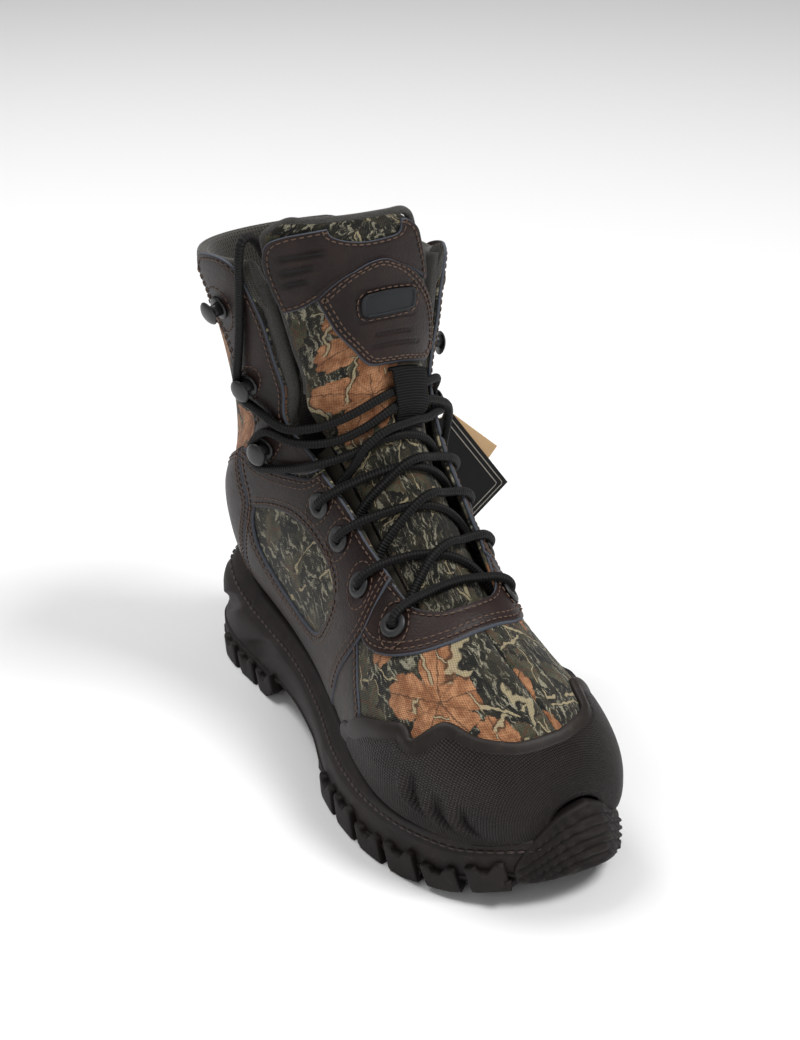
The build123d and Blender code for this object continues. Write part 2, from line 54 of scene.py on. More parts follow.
SECTIONS = np.array([
    (-147, 50, -147, 34, 9, 9, 14, 12, 0.45, 2.0, 2.2),
    (-142, 64, -144, 27, 9, 9, 31, 24, 0.42, 2.1, 2.6),
    (-128, 76, -133, 24, 8, 7, 45, 35, 0.38, 2.2, 3.0),
    (-106, 87, -112, 22, 6, 4, 54, 43, 0.36, 2.2, 3.2),
    (-82, 98, -86, 21, 4, 1, 57, 45, 0.34, 2.1, 3.2),
    (-59, 111, -54, 21, 4, 0, 54, 45, 0.33, 2.0, 3.0),
    (-39, 126, -18, 23, 5, 2, 48, 45, 0.33, 2.0, 2.8),
    (-22, 140, 22, 27, 6, 4, 42, 43, 0.36, 2.1, 2.6),
    (-9, 153, 60, 32, 7, 5, 40, 42, 0.40, 2.2, 2.5),
    (1, 165, 92, 36, 7, 5, 40, 42, 0.45, 2.2, 2.5),
    (8, 177, 122, 42, 7, 5, 41, 42, 0.48, 2.3, 2.5),
    (12, 188, 141, 58, 6, 5, 43, 43, 0.50, 2.3, 2.3),
    (15, 199, 142, 84, 5, 4, 45, 44, 0.50, 2.3, 2.2),
    (16, 211, 129, 114, 4, 4, 44, 46, 0.50, 2.3, 2.2),
    (16, 223, 118, 148, 2, 3, 47, 49, 0.50, 2.4, 2.2),
    (15, 237, 118, 185, 1, 1, 51, 52, 0.50, 2.4, 2.2),
    (13, 252, 122, 222, 0, 0, 58, 56, 0.50, 2.4, 2.2),
], float)
LAST = len(SECTIONS) - 1
FACE = (22.0, 0.95)           # rough millimetres per station and per degree
SOLE_OUTLINE = np.array([
    (12, -156), (-16, -149), (-40, -128), (-54, -98), (-59, -64), (-55, -28), (-45, 6), (-38, 42),
    (-37, 80), (-37, 114), (-29, 142), (-10, 156), (6, 158.5), (22, 156), (41, 142), (49, 114),
    (49, 80), (48, 42), (50, 6), (52, -28), (52, -64), (51, -98), (44, -128), (30, -148),
], float)


def along(*points):
    """A value that changes in straight steps."""
    xs, ys = np.array(points, float).T
    return lambda at: np.interp(at, xs, ys)


GROUND = along((-170, 26), (-150, 12), (-125, 4), (-100, 0), (-5, 0), (8, 8), (60, 9), (70, 0), (146, 0), (170, 9))
OUTSOLE_TOP = along((-170, 32), (-150, 20), (-125, 12), (-100, 9), (-5, 9), (8, 12.5), (60, 14), (72, 12), (170, 18))
MIDSOLE_TOP = along((-170, 40), (-150, 33), (-125, 29), (-60, 28), (-20, 29), (20, 34), (70, 41), (110, 47), (170, 63))
EDGE = {
    -1: along((5, 27), (6, 33), (7, 40), (8, 44), (9, 48), (10, 51), (11, 56), (12, 59), (14, 62), (16, 63)),
    1: along((5, 27), (6, 32), (7, 40), (8, 42), (10, 44), (12, 46), (13, 48), (14, 50), (15, 53), (16, 57)),
}
LINER = {
    -1: along((5, 56), (6, 62), (7, 66), (9, 70), (10, 68), (11, 63), (12, 61), (16, 62)),
    1: along((5, 56), (6, 62), (7, 66), (9, 67), (10, 60), (11, 53), (12, 49), (14, 50), (16, 54)),
}
TONGUE = {
    -1: along((5, 24), (6, 31), (7, 38), (8, 42), (10, 46), (12, 50), (15, 51), (17, 48), (18, 42)),
    1: along((5, 24), (6, 31), (7, 38), (8, 40), (12, 43), (13, 42), (14.6, 33), (16.6, 21), (18, 12)),
}
TONGUE_FACE = along((5, -6.6), (9, -6.6), (10, -5.4), (11, -3.8), (12, -2.0), (13, -0.6), (15, 0.9), (17, 1.6))
EYELETS = {-1: [(5.3, 39), (6.6, 51), (7.8, 54), (8.9, 57)], 1: [(5.3, 39), (6.6, 49), (7.8, 53), (8.9, 55)]}
HOOKS = {-1: [(11.5, 73), (13.8, 84), (15.5, 92)], 1: [(11.5, 64), (13.8, 78), (15.3, 86)]}
SIDES = {-1: "lateral", 1: "medial"}
LACE = [
    (14.4, -62, -12), (15.3, -57.5, -11.4), (16.1, -54, -10.8), (16.8, -54, -8.5), (17.25, -54, -3.5),
    (17.15, -56, 2.8), (16.65, -59, 5.2), (16.1, -63, 5), (15.5, -68.5, 5), (14.95, -76, 5), (14.45, -83, 5.3),
    (14.0, -89.5, 5.9), (13.62, -89.5, 5.9), (13.0, -77, 5.2), (12.3, -66, 5), (11.55, -58, 4.9), (11.1, -50, 2.5),
    (10.8, -39, -0.2), (10.75, -26, -1.2), (10.9, -12, -1.1), (11.1, 2, -0.8), (11.25, 14, -0.6), (11.3, 27, -0.4),
    (11.55, 37, 1.8), (11.85, 47, 5.0), (11.95, 58, 5.6), (11.83, 71, 5.9), (11.17, 71, 5.9), (11.0, 58, 5.4),
    (10.6, 47, 4.9), (10.3, 38, 0.5), (10.0, 29, -2.5), (9.9, 17, -2.6), (9.75, 3, -2), (9.62, -12, 1.4),
    (9.42, -26, 1.2), (9.2, -37, -4), (9.12, -48, -4.05), (8.9, -57, -4.05), (8.9, -57, 5.9), (8.8, -47, 5),
    (8.72, -37, -0.8), (8.66, -28, -3.2), (8.56, -15, -3.9), (8.46, 0, -4.05), (8.34, 16, -4.05), (8.2, 31, -4.05),
    (8.05, 44, -4.05), (7.8, 53, -4.05), (7.8, 53, 5.9), (7.72, 42, 4.9), (7.66, 32, -1), (7.56, 21, -3),
    (7.44, 9, 0.6), (7.32, -3, 0.6), (7.2, -15, -3), (7.06, -29, -4.05), (6.9, -41, -4.05), (6.6, -51, -4.05),
    (6.6, -51, 5.9), (6.5, -39, 4.9), (6.42, -29, -1), (6.34, -19, -3.6), (6.18, -7, -4.05), (6.02, 7, -4.05),
    (5.85, 20, -4.05), (5.6, 30, -4.05), (5.3, 39, -4.05), (5.3, 39, 5.9), (5.36, 29, 5.1), (5.45, 18, -1.5),
    (5.5, 6, -3.9), (5.5, -8, -3.9), (5.45, -19, -1.5), (5.36, -30, 5.1), (5.3, -39, 5.9), (5.3, -39, -4.05),
    (5.6, -30, -4.05), (5.85, -20, -4.05), (6.02, -8, 0.6), (6.18, 5, 0.6), (6.34, 18, -3), (6.44, 28, -0.8),
    (6.52, 37, 5), (6.6, 49, 5.9), (6.6, 49, -4.05), (6.9, 40, -4.05), (7.08, 28, -4.05), (7.2, 14, -4.05),
    (7.32, -2, -4.05), (7.44, -17, -3.8), (7.56, -30, -2.5), (7.66, -42, 4.8), (7.8, -54, 5.9), (7.8, -54, -4.05),
    (8.05, -45, -4.05), (8.2, -32, -4.05), (8.32, -18, -3.6), (8.42, -6, 0.6), (8.52, 7, 0.6), (8.64, 20, -3),
    (8.74, 32, -0.8), (8.8, 43, 4.9), (8.9, 55, 5.9), (8.9, 55, -4.05), (9.15, 46, -4.05), (9.3, 34, -3.9),
    (9.4, 20, -3.7), (9.46, 5, -3.6), (9.5, -10, -3.5), (9.5, -24, -3.5), (9.58, -38, -2.2), (9.78, -49, 4.8),
    (10.2, -59, 4.9), (10.7, -69, 5.3), (11.17, -78.6, 5.9), (11.83, -78.6, 5.9), (12.0, -69, 5.4), (11.6, -62, 5),
    (10.95, -56, 4.8), (10.4, -47, 1.5), (10.1, -36, -1.3), (10.08, -22, -2.3), (10.3, -8, -2), (10.55, 3, -1.7),
    (10.65, 14, -1.5), (10.7, 27, -1.4), (10.75, 38, 3.5), (10.72, 49, 9.6), (10.5, 60, 9.9), (10.0, 68, 7.8),
    (9.4, 72, 5.2), (8.7, 73, 4.7), (8.0, 75, 4.7),
]
TAG_CORD = [(51.5, 47.0, 165.5), (55.5, 50.5, 158.5), (60.5, 54.2, 149.5), (61.0, 60.0, 147.2)]


def metres(points):
    """Points of the sections' own frame, in millimetres, moved to the row frame."""
    points = np.asarray(points, float)
    return (points - np.array([CENTRE[0], CENTRE[1], 0.0])) * 0.001


def section_row(at):
    i = np.clip(np.floor(at).astype(int), 0, LAST - 1)
    t = np.clip(at - i, 0, 1)[:, None]
    a, b = SECTIONS[np.maximum(i - 1, 0)], SECTIONS[i]
    c, d = SECTIONS[i + 1], SECTIONS[np.minimum(i + 2, LAST)]
    row = (2 * t**3 - 3 * t**2 + 1) * b + (t**3 - 2 * t**2 + t) * (c - a) / 2
    row += (3 * t**2 - 2 * t**3) * c + (t**3 - t**2) * (d - b) / 2
    under, over = np.minimum(at, 0)[:, None], np.maximum(at - LAST, 0)[:, None]
    return row + under * (SECTIONS[1] - SECTIONS[0]) + over * (SECTIONS[LAST] - SECTIONS[LAST - 1])


def section(at, angle, offset=0.0):
    """Points of the sections, set off square to their outline, in the row frame in metres."""
    at, angle, offset = (np.ravel(v).astype(float) for v in np.broadcast_arrays(at, angle, offset))
    ty, tz, by, bz, tx, bx, lateral, medial, widest, upper, lower = section_row(at).T
    height = np.hypot(ty - by, tz - bz)

    def flat(radians):
        s, c = np.sin(radians), np.cos(radians)
        mix = np.clip((c + 0.25) / 0.5, 0, 1)
        n = lower + (upper - lower) * mix * mix * (3 - 2 * mix)
        r = (np.abs(s) ** n + np.abs(c) ** n) ** (-1 / n)
        share = widest + np.where(c > 0, 1 - widest, widest) * r * c
        return bx + (tx - bx) * share + np.where(s < 0, lateral, medial) * r * s, share * height

    a, step = np.radians(angle), 1e-3
    x0, h0 = flat(a - step)
    x1, h1 = flat(a + step)
    x, h = flat(a)
    size = np.hypot(x1 - x0, h1 - h0)
    x = x - offset * (h1 - h0) / size
    share = (h + offset * (x1 - x0) / size) / height
    return metres(np.stack([x, by + (ty - by) * share, bz + (tz - bz) * share], 1))


def tongue_surface(at, angle, offset=0.0):
    return section(at, angle, TONGUE_FACE(at) + offset)


def spline(points, closed=False, count=12):
    """A smooth curve through the points."""
    p = np.asarray(points, float)
    if len(p) < 3 and not closed:
        return np.array([p[0] + (p[-1] - p[0]) * k / count for k in range(count + 1)])
    q = np.vstack([p[-1], p, p[0], p[1]]) if closed else np.vstack([2 * p[0] - p[1], p, 2 * p[-1] - p[-2]])
    t = np.linspace(0, 1, count, endpoint=False)[:, None]
    out = []
    for a, b, c, d in zip(q, q[1:], q[2:], q[3:]):
        out.append(0.5 * (2 * b + (c - a) * t + (2 * a - 5 * b + 4 * c - d) * t**2 + (3 * b - a - 3 * c + d) * t**3))
    out = np.vstack(out)
    return out if closed else np.vstack([out, p[-1]])


def resample(points, spacing, scale=1.0, ends=True):
    """The polyline's points at even steps along its scaled length."""
    p = np.asarray(points, float)
    size = np.concatenate([[0], np.cumsum(np.linalg.norm(np.diff(p * scale, axis=0), axis=1))])
    count = max(2, int(round(size[-1] / spacing)) + 1)
    steps = np.linspace(0, size[-1], count)
    out = np.stack([np.interp(steps, size, p[:, k]) for k in range(p.shape[1])], 1)
    return out if ends else out[:-1]


RIM = resample(spline(np.vstack([SOLE_OUTLINE, SOLE_OUTLINE[:1]])[:-1], closed=True, count=40), 1.0, ends=False)
RIM = resample(np.vstack([RIM, RIM[:1]]), 1.0, ends=False)
RIM_OUT = np.roll(RIM, -1, 0) - np.roll(RIM, 1, 0)
RIM_OUT = np.stack([-RIM_OUT[:, 1], RIM_OUT[:, 0]], 1)
RIM_OUT /= np.linalg.norm(RIM_OUT, axis=1)[:, None]
if ((RIM_OUT * (RIM - RIM.mean(0))).sum(1)).mean() < 0:
    RIM_OUT = -RIM_OUT


def rim_at(t):
    """Plan position and outward direction at a distance round the sole from the toe, lateral side first."""
    t = np.mod(np.ravel(t), len(RIM))
    i = np.floor(t).astype(int) % len(RIM)
    f = np.clip(t - i, 0, 1)[:, None]
    j = (i + 1) % len(RIM)
    return RIM[i] * (1 - f) + RIM[j] * f, RIM_OUT[i] * (1 - f) + RIM_OUT[j] * f


def wall(t, z, offset=0.0):
    """The side of the sole: distance round it, height and distance out."""
    t, z, offset = (np.ravel(v).astype(float) for v in np.broadcast_arrays(t, z, offset))
    place, out = rim_at(t)
    return metres(np.column_stack([place + out * offset[:, None], z]))


# ------------------------------------------------------------------ materials
class Shader:
    """A material built from nodes; values may be numbers, tuples or sockets."""

    def __init__(self, name):
        self.material = bpy.data.materials.new(name)
        self.material.use_nodes = True
        self.tree = self.material.node_tree
        self.surface = self.tree.nodes["Principled BSDF"]

    def node(self, kind, inputs=None, **settings):
        made = self.tree.nodes.new("ShaderNode" + kind)
        for key, value in settings.items():
            setattr(made, key, value)
        for key, value in (inputs or {}).items():
            self.link(value, made.inputs[key])
        return made

    def link(self, value, socket):
        if isinstance(value, bpy.types.NodeSocket):
            self.tree.links.new(value, socket)
        elif value is not None:
            socket.default_value = value

    def math(self, operation, a, b=None, c=None):
        made = self.node("Math", operation=operation)
        for value, socket in zip((a, b, c), made.inputs):
            self.link(value, socket)
        return made.outputs[0]

    def vector(self, operation, a, b=None, scale=None):
        made = self.node("VectorMath", operation=operation)
        self.link(a, made.inputs[0])
        self.link(b, made.inputs[1])
        if scale is not None:
            self.link(scale, made.inputs["Scale"])
        return made.outputs["Value" if operation in ("LENGTH", "DOT_PRODUCT", "DISTANCE") else "Vector"]

    def parts(self, vector):
        return self.node("SeparateXYZ", {0: vector}).outputs

    def mix(self, share, a, b):
        made = self.node("Mix", data_type="RGBA")
        self.link(share, made.inputs[0])
        self.link(four(a), made.inputs[6])
        self.link(four(b), made.inputs[7])
        return made.outputs[2]

    def step(self, value, low, high):
        """0 under low, 1 over high."""
        made = self.node("MapRange", interpolation_type="SMOOTHSTEP")
        for key, number in zip((0, 1, 2), (value, low, high)):
            self.link(number, made.inputs[key])
        return made.outputs[0]

    def noise(self, vector, scale, detail=2.0, rough=0.5, distortion=0.0):
        made = self.node("TexNoise", {"Vector": vector, "Scale": scale, "Detail": detail, "Roughness": rough})
        made.inputs["Distortion"].default_value = distortion
        return made.outputs

    def cells(self, vector, scale, feature="F1", spread=1.0):
        made = self.node("TexVoronoi", {"Vector": vector, "Scale": scale, "Randomness": spread}, feature=feature)
        return made.outputs

    def bump(self, height, distance, strength=1.0, normal=None):
        made = self.node("Bump", {"Height": height, "Distance": distance, "Strength": strength})
        self.link(normal, made.inputs["Normal"])
        return made.outputs[0]

    def uv(self):
        return self.node("UVMap", uv_map="UVMap").outputs[0]

    def place(self):
        return self.node("TexCoord").outputs["Object"]

    def named(self, name):
        return self.node("Attribute", attribute_name=name).outputs["Fac"]

    def finish(self, color, rough, normal=None, **values):
        self.link(four(color), self.surface.inputs["Base Color"])
        self.link(rough, self.surface.inputs["Roughness"])
        self.link(normal, self.surface.inputs["Normal"])
        for key, value in values.items():
            self.surface.inputs[key.replace("_", " ")].default_value = value
        return self.material


def four(color):
    if isinstance(color, (int, float)):
        return (color, color, color, 1.0)
    if isinstance(color, tuple) and len(color) == 3:
        return (*color, 1.0)
    return color


def leather_material(name, dark=(0.0085, 0.0037, 0.0032), light=(0.021, 0.0102, 0.0088)):
    s = Shader(name)
    at = s.place()
    patches = s.noise(at, 38, 4, 0.6)[0]
    grain = s.cells(at, 900)[0]
    creases = s.noise(at, 260, 5, 0.65, 0.6)[0]
    # lighter colour on the rolled border near the cut edge
    edge_lighter = s.math("MULTIPLY", s.step(s.named("edge"), 0.9, 0.0), 0.3)
    color = s.mix(s.step(patches, 0.3, 0.75), dark, light)
    color = s.mix(edge_lighter, color, (0.05, 0.034, 0.03))
    # painted shade: near-black in the pressed grooves of the leather
    color = s.mix(s.math("MULTIPLY", s.named("groove_shade"), 0.8), color, (0.003, 0.0018, 0.0016))
    rough = s.math("ADD", 0.36, s.math("MULTIPLY", creases, 0.22))
    height = s.math("ADD", s.math("MULTIPLY", grain, 0.6), s.math("MULTIPLY", creases, 0.8))
    s.link(s.bump(height, 0.00035, 0.55), s.surface.inputs["Normal"])
    return s.finish(color, rough, Coat_Weight=0.02, Coat_Roughness=0.3, Specular_IOR_Level=0.24)


def raw_edge_material():
    s = Shader("raw_leather_edge")
    fibres = s.noise(s.place(), 1400, 3, 0.6)[0]
    color = s.mix(fibres, (0.03, 0.035, 0.046), (0.10, 0.112, 0.14))
    return s.finish(color, 0.9, s.bump(fibres, 0.0003, 0.6))


def camo_material(name, low, high, among):
    """Printed woven nylon: dark bark ground, pale bark marks, leaves with veins, and thin twigs. The orange
    leaves lie between two lengths along the piece, or outside them."""
    s = Shader(name)
    uv = s.uv()
    length = s.parts(uv)[0]
    band = s.math("MULTIPLY", s.step(length, low, low + 0.006), s.step(length, high, high - 0.006))
    band = band if among else s.math("SUBTRACT", 1.0, band)
    wander = s.vector("SCALE", s.vector("SUBTRACT", s.noise(uv, 55, 3, 0.6)[1], (0.5, 0.5, 0.5)), scale=0.016)
    jagged = s.vector("SCALE", s.vector("SUBTRACT", s.noise(uv, 320, 3, 0.6)[1], (0.5, 0.5, 0.5)), scale=0.0035)
    loose = s.vector("ADD", uv, wander)
    # dark ground
    ground = s.noise(loose, 60, 5, 0.65)[0]
    color = s.mix(s.step(ground, 0.38, 0.66), (0.0055, 0.0055, 0.004), (0.045, 0.04, 0.023))
    # rough bark: marks stretched along the boot
    bark_place = s.vector("MULTIPLY", s.vector("ADD", loose, jagged), (1.0, 3.4, 1.0))
    bark = s.noise(bark_place, 135, 5, 0.68)[0]
    region = s.step(s.noise(uv, 28, 2)[0], 0.30, 0.46)
    marks = s.math("MULTIPLY", s.step(bark, 0.52, 0.575), region)
    color = s.mix(s.math("MULTIPLY", marks, 0.85), color, (0.35, 0.325, 0.235))
    shadow = s.step(s.noise(bark_place, 80, 3, 0.6)[0], 0.53, 0.59)
    color = s.mix(s.math("MULTIPLY", shadow, 0.85), color, (0.006, 0.006, 0.005))
    # leaves: two sizes, each with a lobed outline and veins
    for scale, size, lobes, shades, keep, seed in (
        (44, 0.0092, 1.5, ((0.03, 0.033, 0.018), (0.105, 0.098, 0.058)), 0.5, 3.1),
        (18.5, 0.0265, 2.5, ((0.27, 0.105, 0.042), (0.56, 0.275, 0.135)), 0.42, 0.0),
    ):
        moved = s.vector("ADD", s.vector("ADD", uv, jagged), (seed, seed * 0.7, 0.0))
        cell = s.cells(s.vector("MULTIPLY", moved, (1.0, 1.0, 0.0)), scale, spread=0.85)
        local = s.parts(s.vector("SUBTRACT", moved, cell["Position"]))
        pick = s.parts(cell["Color"])
        turn = s.math("ADD", s.math("ARCTAN2", local[1], local[0]), s.math("MULTIPLY", pick[0], 6.28))
        reach = s.math("SQRT", s.math("ADD", s.math("POWER", local[0], 2.0), s.math("POWER", local[1], 2.0)))
        lobe = s.math("ABSOLUTE", s.math("COSINE", s.math("MULTIPLY", turn, lobes)))
        saw = s.math("MULTIPLY", s.math("ABSOLUTE", s.math("SINE", s.math("MULTIPLY", turn, 14.0))), 0.07)
        shape = s.math("ADD", s.math("ADD", 0.42, s.math("MULTIPLY", s.math("POWER", lobe, 0.7), 0.58)), saw)
        limit = s.math("MULTIPLY", shape, size)
        inside = s.step(s.math("SUBTRACT", limit, reach), 0.0, 0.0006)
        inside = s.math("MULTIPLY", inside, s.step(pick[1], keep - 0.01, keep))
        if size > 0.02:
            inside = s.math("MULTIPLY", inside, band)
        # veins run out along each lobe, with finer ones at a slant
        vein = s.math("MULTIPLY", s.math("ABSOLUTE", s.math("SINE", s.math("MULTIPLY", turn, lobes))), reach)
        side_vein = s.math("ABSOLUTE", s.math("SINE", s.math("MULTIPLY", s.math("SUBTRACT", reach, vein), 1500.0)))
        blotch = s.noise(uv, 130, 4, 0.7)[0]
        leaf = s.mix(s.step(blotch, 0.35, 0.68), shades[0], shades[1])
        leaf = s.mix(s.math("MULTIPLY", s.step(side_vein, 0.3, 0.05), 0.4), leaf, (0.10, 0.045, 0.02))
        leaf = s.mix(s.math("MULTIPLY", s.step(vein, 0.0012, 0.0004), 0.8), leaf, (0.09, 0.04, 0.02))
        rim = s.step(s.math("SUBTRACT", limit, reach), 0.0014, 0.0)
        leaf = s.mix(s.math("MULTIPLY", rim, 0.6), leaf, (0.12, 0.05, 0.02))
        color = s.mix(inside, color, leaf)
    # twigs
    for scale, stretch, width in ((24, (1.0, 0.33, 0.0), 0.014), (36, (0.36, 1.0, 0.0), 0.013)):
        bent = s.vector("MULTIPLY", s.vector("ADD", loose, (scale * 0.1, 0.3, 0.0)), stretch)
        line = s.cells(bent, scale, "DISTANCE_TO_EDGE")[0]
        some = s.step(s.noise(uv, 33 + scale, 1)[0], 0.49, 0.52)
        twig = s.math("MULTIPLY", s.step(line, width, width * 0.55), some)
        color = s.mix(s.math("MULTIPLY", twig, 0.9), color, (0.42, 0.35, 0.21))
        dark = s.math("MULTIPLY", s.step(line, width * 2.1, width * 1.1), some)
        color = s.mix(s.math("MULTIPLY", s.math("SUBTRACT", dark, twig), 0.75), color, (0.012, 0.009, 0.006))
    # the weave shows as fine slanting ribs, with painted shade in their hollows and painted highlight on their crests
    u, v, _ = s.parts(uv)
    rib = s.math("SINE", s.math("MULTIPLY", s.math("ADD", u, s.math("MULTIPLY", v, 0.75)), 6600.0))
    cross = s.math("SINE", s.math("MULTIPLY", s.math("SUBTRACT", v, s.math("MULTIPLY", u, 0.35)), 5600.0))
    weave = s.math("ADD", s.math("MULTIPLY", rib, 0.6), s.math("MULTIPLY", cross, 0.4))
    # painted shade and highlight: colour scaled darker in the rib hollows and lighter on the crests
    rib_shading = s.math("ADD", 0.78, s.math("MULTIPLY", weave, 0.3))
    color = s.vector("SCALE", color, scale=rib_shading)
    return s.finish(color, 0.85, s.bump(weave, 0.00022, 0.6), Sheen_Weight=0.15, Specular_IOR_Level=0.25)


def rubber_material(name, dark, light, pattern=None, rough=0.55):
    s = Shader(name)
    at = s.place()
    cloud = s.noise(at, 60, 4, 0.6)[0]
    fine = s.noise(at, 1500, 3, 0.6)[0]
    color = s.mix(s.step(cloud, 0.3, 0.72), dark, light)
    dust = s.math("MULTIPLY", s.step(s.noise(at, 240, 5, 0.7)[0], 0.56, 0.78), 0.16)
    color = s.mix(dust, color, (0.12, 0.10, 0.085))
    height, far = fine, 0.00012
    if pattern == "diamonds":
        u, v, _ = s.parts(s.uv())
        one = s.math("SINE", s.math("MULTIPLY", s.math("ADD", u, v), 2200.0))
        two = s.math("SINE", s.math("MULTIPLY", s.math("SUBTRACT", u, v), 2200.0))
        stud = s.math("MULTIPLY", one, two)
        height, far = s.math("MULTIPLY", stud, s.step(s.named("plain"), 0.65, 0.25)), 0.0011
        # painted shade: near-black in the gill grooves and border hollow of the cap
        color = s.mix(s.math("MULTIPLY", s.named("groove_shade"), 0.85), color, (0.002, 0.0016, 0.0015))
        # painted shade in the hollows between the studs and painted highlight on the stud tops
        color = s.mix(s.math("MULTIPLY", s.step(height, -0.1, -0.7), 0.8), color, (0.003, 0.0024, 0.0022))
        color = s.mix(s.math("MULTIPLY", s.step(height, 0.05, 0.6), 0.75), color, (0.045, 0.037, 0.033))
    roughness = s.math("ADD", rough - 0.06, s.math("MULTIPLY", cloud, 0.14))
    return s.finish(color, roughness, s.bump(height, far, 0.8), Specular_IOR_Level=0.26)


def mesh_lining_material(name, dark=(0.010, 0.0085, 0.005), light=(0.034, 0.028, 0.017), pitch=620):
    s = Shader(name)
    uv = s.uv()
    holes = s.cells(s.vector("MULTIPLY", uv, (1.0, 1.0, 0.0)), pitch, "DISTANCE_TO_EDGE", 0.25)[0]
    yarn = s.step(holes, 0.26, 0.1)
    color = s.mix(yarn, dark, light)
    color = s.mix(s.math("MULTIPLY", s.noise(uv, 45, 3)[0], 0.5), color, dark)
    return s.finish(color, 0.92, s.bump(yarn, 0.0005, 0.8), Sheen_Weight=0.25)


def plain_material(name, color, rough, grain=900.0, depth=0.0001, metal=0.0, spread=0.25, **values):
    s = Shader(name)
    speck = s.noise(s.place(), grain, 3, 0.6)[0]
    wide = s.noise(s.place(), 70, 3)[0]
    tone = s.mix(s.math("MULTIPLY", wide, spread * 2), tuple(c * 1.25 for c in color), tuple(c * 0.6 for c in color))
    roughness = s.math("ADD", rough - 0.05, s.math("MULTIPLY", wide, 0.12))
    return s.finish(tone, roughness, s.bump(speck, depth, 0.5), Metallic=metal, **values)


def webbing_material(name, color, pitch, across=0.0, along_u=1.0):
    s = Shader(name)
    u, v, _ = s.parts(s.uv())
    rib = s.math("SINE", s.math("MULTIPLY", s.math("ADD", s.math("MULTIPLY", u, along_u), s.math("MULTIPLY", v, across)), pitch))
    fibre = s.noise(s.uv(), 2600, 2)[0]
    # painted shade in the hollows of the ribs and painted highlight on their crests
    tone = s.mix(s.step(rib, -0.6, 0.9), tuple(c * 0.4 for c in color), tuple(c * 1.7 for c in color))
    height = s.math("ADD", rib, s.math("MULTIPLY", fibre, 0.5))
    return s.finish(tone, 0.85, s.bump(height, 0.0003, 0.8), Specular_IOR_Level=0.2)


def braid_material():
    s = Shader("lace_braid")
    u, v, _ = s.parts(s.uv())
    one = s.math("SINE", s.math("MULTIPLY", s.math("ADD", u, v), 6.2832))
    two = s.math("SINE", s.math("MULTIPLY", s.math("SUBTRACT", u, v), 6.2832))
    plait = s.math("MULTIPLY", one, two)
    fibre = s.noise(s.place(), 3000, 2)[0]
    # painted shade between the plaits and painted highlight on their raised tops
    tone = s.mix(s.step(plait, -0.5, 0.8), (0.002, 0.002, 0.002), (0.013, 0.012, 0.0115))
    height = s.math("ADD", plait, s.math("MULTIPLY", fibre, 0.4))
    return s.finish(tone, 0.7, s.bump(height, 0.0004, 0.8), Specular_IOR_Level=0.25)


MATERIALS = {
    "leather": leather_material("leather"),
    "raw_edge": raw_edge_material(),
    "camo": camo_material("camo_fabric", 0.125, 0.262, False),
    "camo_tongue": camo_material("camo_tongue", 0.095, 0.172, True),
    "cap": rubber_material("cap_rubber", (0.0105, 0.0072, 0.0060), (0.020, 0.0145, 0.0122), "diamonds", 0.5),
    "midsole": rubber_material("midsole_foam", (0.0085, 0.0058, 0.0050), (0.0155, 0.0108, 0.0092), rough=0.58),
    "outsole": rubber_material("sole_rubber", (0.0080, 0.0060, 0.0052), (0.015, 0.0114, 0.0098), rough=0.62),
    "lining": mesh_lining_material("mesh_lining"),
    "webbing": webbing_material("webbing", (0.008, 0.008, 0.0085), 4600.0, 1.0, 0.0),
    "gusset": webbing_material("gusset_fabric", (0.05, 0.044, 0.034), 5000.0, 0.8),
    "lace": braid_material(),
    "eyelet": plain_material("eyelet_plastic", (0.017, 0.0175, 0.019), 0.45, Specular_IOR_Level=0.5),
    "gunmetal": plain_material("gunmetal", (0.020, 0.0195, 0.021), 0.38, 400, metal=0.25),
    "steel": plain_material("steel", (0.45, 0.45, 0.46), 0.35, metal=1.0),
    "badge": plain_material("badge_rubber", (0.007, 0.0085, 0.0105), 0.5, Specular_IOR_Level=0.3),
    "thread": plain_material("stitch_thread", (0.10, 0.06, 0.04), 0.75, 4000, 0.0002),
    "dark_thread": plain_material("dark_thread", (0.04, 0.027, 0.023), 0.7, 4000, 0.0002),
    "gloss_black": plain_material("gloss_black", (0.012, 0.012, 0.012), 0.22),
    "card": plain_material("card_black", (0.0025, 0.0025, 0.003), 0.5, 500, 0.00003, spread=0.1, Specular_IOR_Level=0.15),
    "piping": plain_material("tag_piping", (0.30, 0.28, 0.24), 0.5),
    "kraft": plain_material("card_kraft", (0.46, 0.30, 0.155), 0.8, 1300, 0.0001, spread=0.15),
    "stiffener": plain_material("stiffener", (0.6, 0.55, 0.45), 0.8),
    "wadding": plain_material("insulation", (0.28, 0.27, 0.25), 0.95),
    "footbed": mesh_lining_material("footbed_foam", (0.03, 0.026, 0.02), (0.13, 0.11, 0.08), 420),
}


# ------------------------------------------------------------------ mesh tools
def build(name, verts, faces, material, body, nodes=(), uv=None, extra=None, indices=None, more=(), smooth=True):
    """A mesh object that rides on a body and stands for the given CAD nodes."""
    mesh = bpy.data.meshes.new(name)
    mesh.from_pydata(np.asarray(verts, float).tolist(), [], [list(map(int, f)) for f in faces])
    mesh.validate()
    if uv is not None:
        layer = mesh.uv_layers.new(name="UVMap")
        corner = np.zeros(len(mesh.loops), int)
        mesh.loops.foreach_get("vertex_index", corner)
        layer.data.foreach_set("uv", np.asarray(uv, float)[corner].ravel())
    for key, values in (extra or {}).items():
        mesh.attributes.new(key, "FLOAT", "POINT").data.foreach_set("value", np.asarray(values, np.float32))
    for m in (material, *more):
        mesh.materials.append(MATERIALS[m])
    if indices is not None and len(indices) == len(mesh.polygons):
        mesh.polygons.foreach_set("material_index", np.asarray(indices, np.int32))
    mesh.polygons.foreach_set("use_smooth", [smooth] * len(mesh.polygons))
    made = bpy.data.objects.new(name, mesh)
    bpy.context.scene.collection.objects.link(made)
    if body:
        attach(made, body)
    if nodes:
        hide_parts(*nodes)
    return made


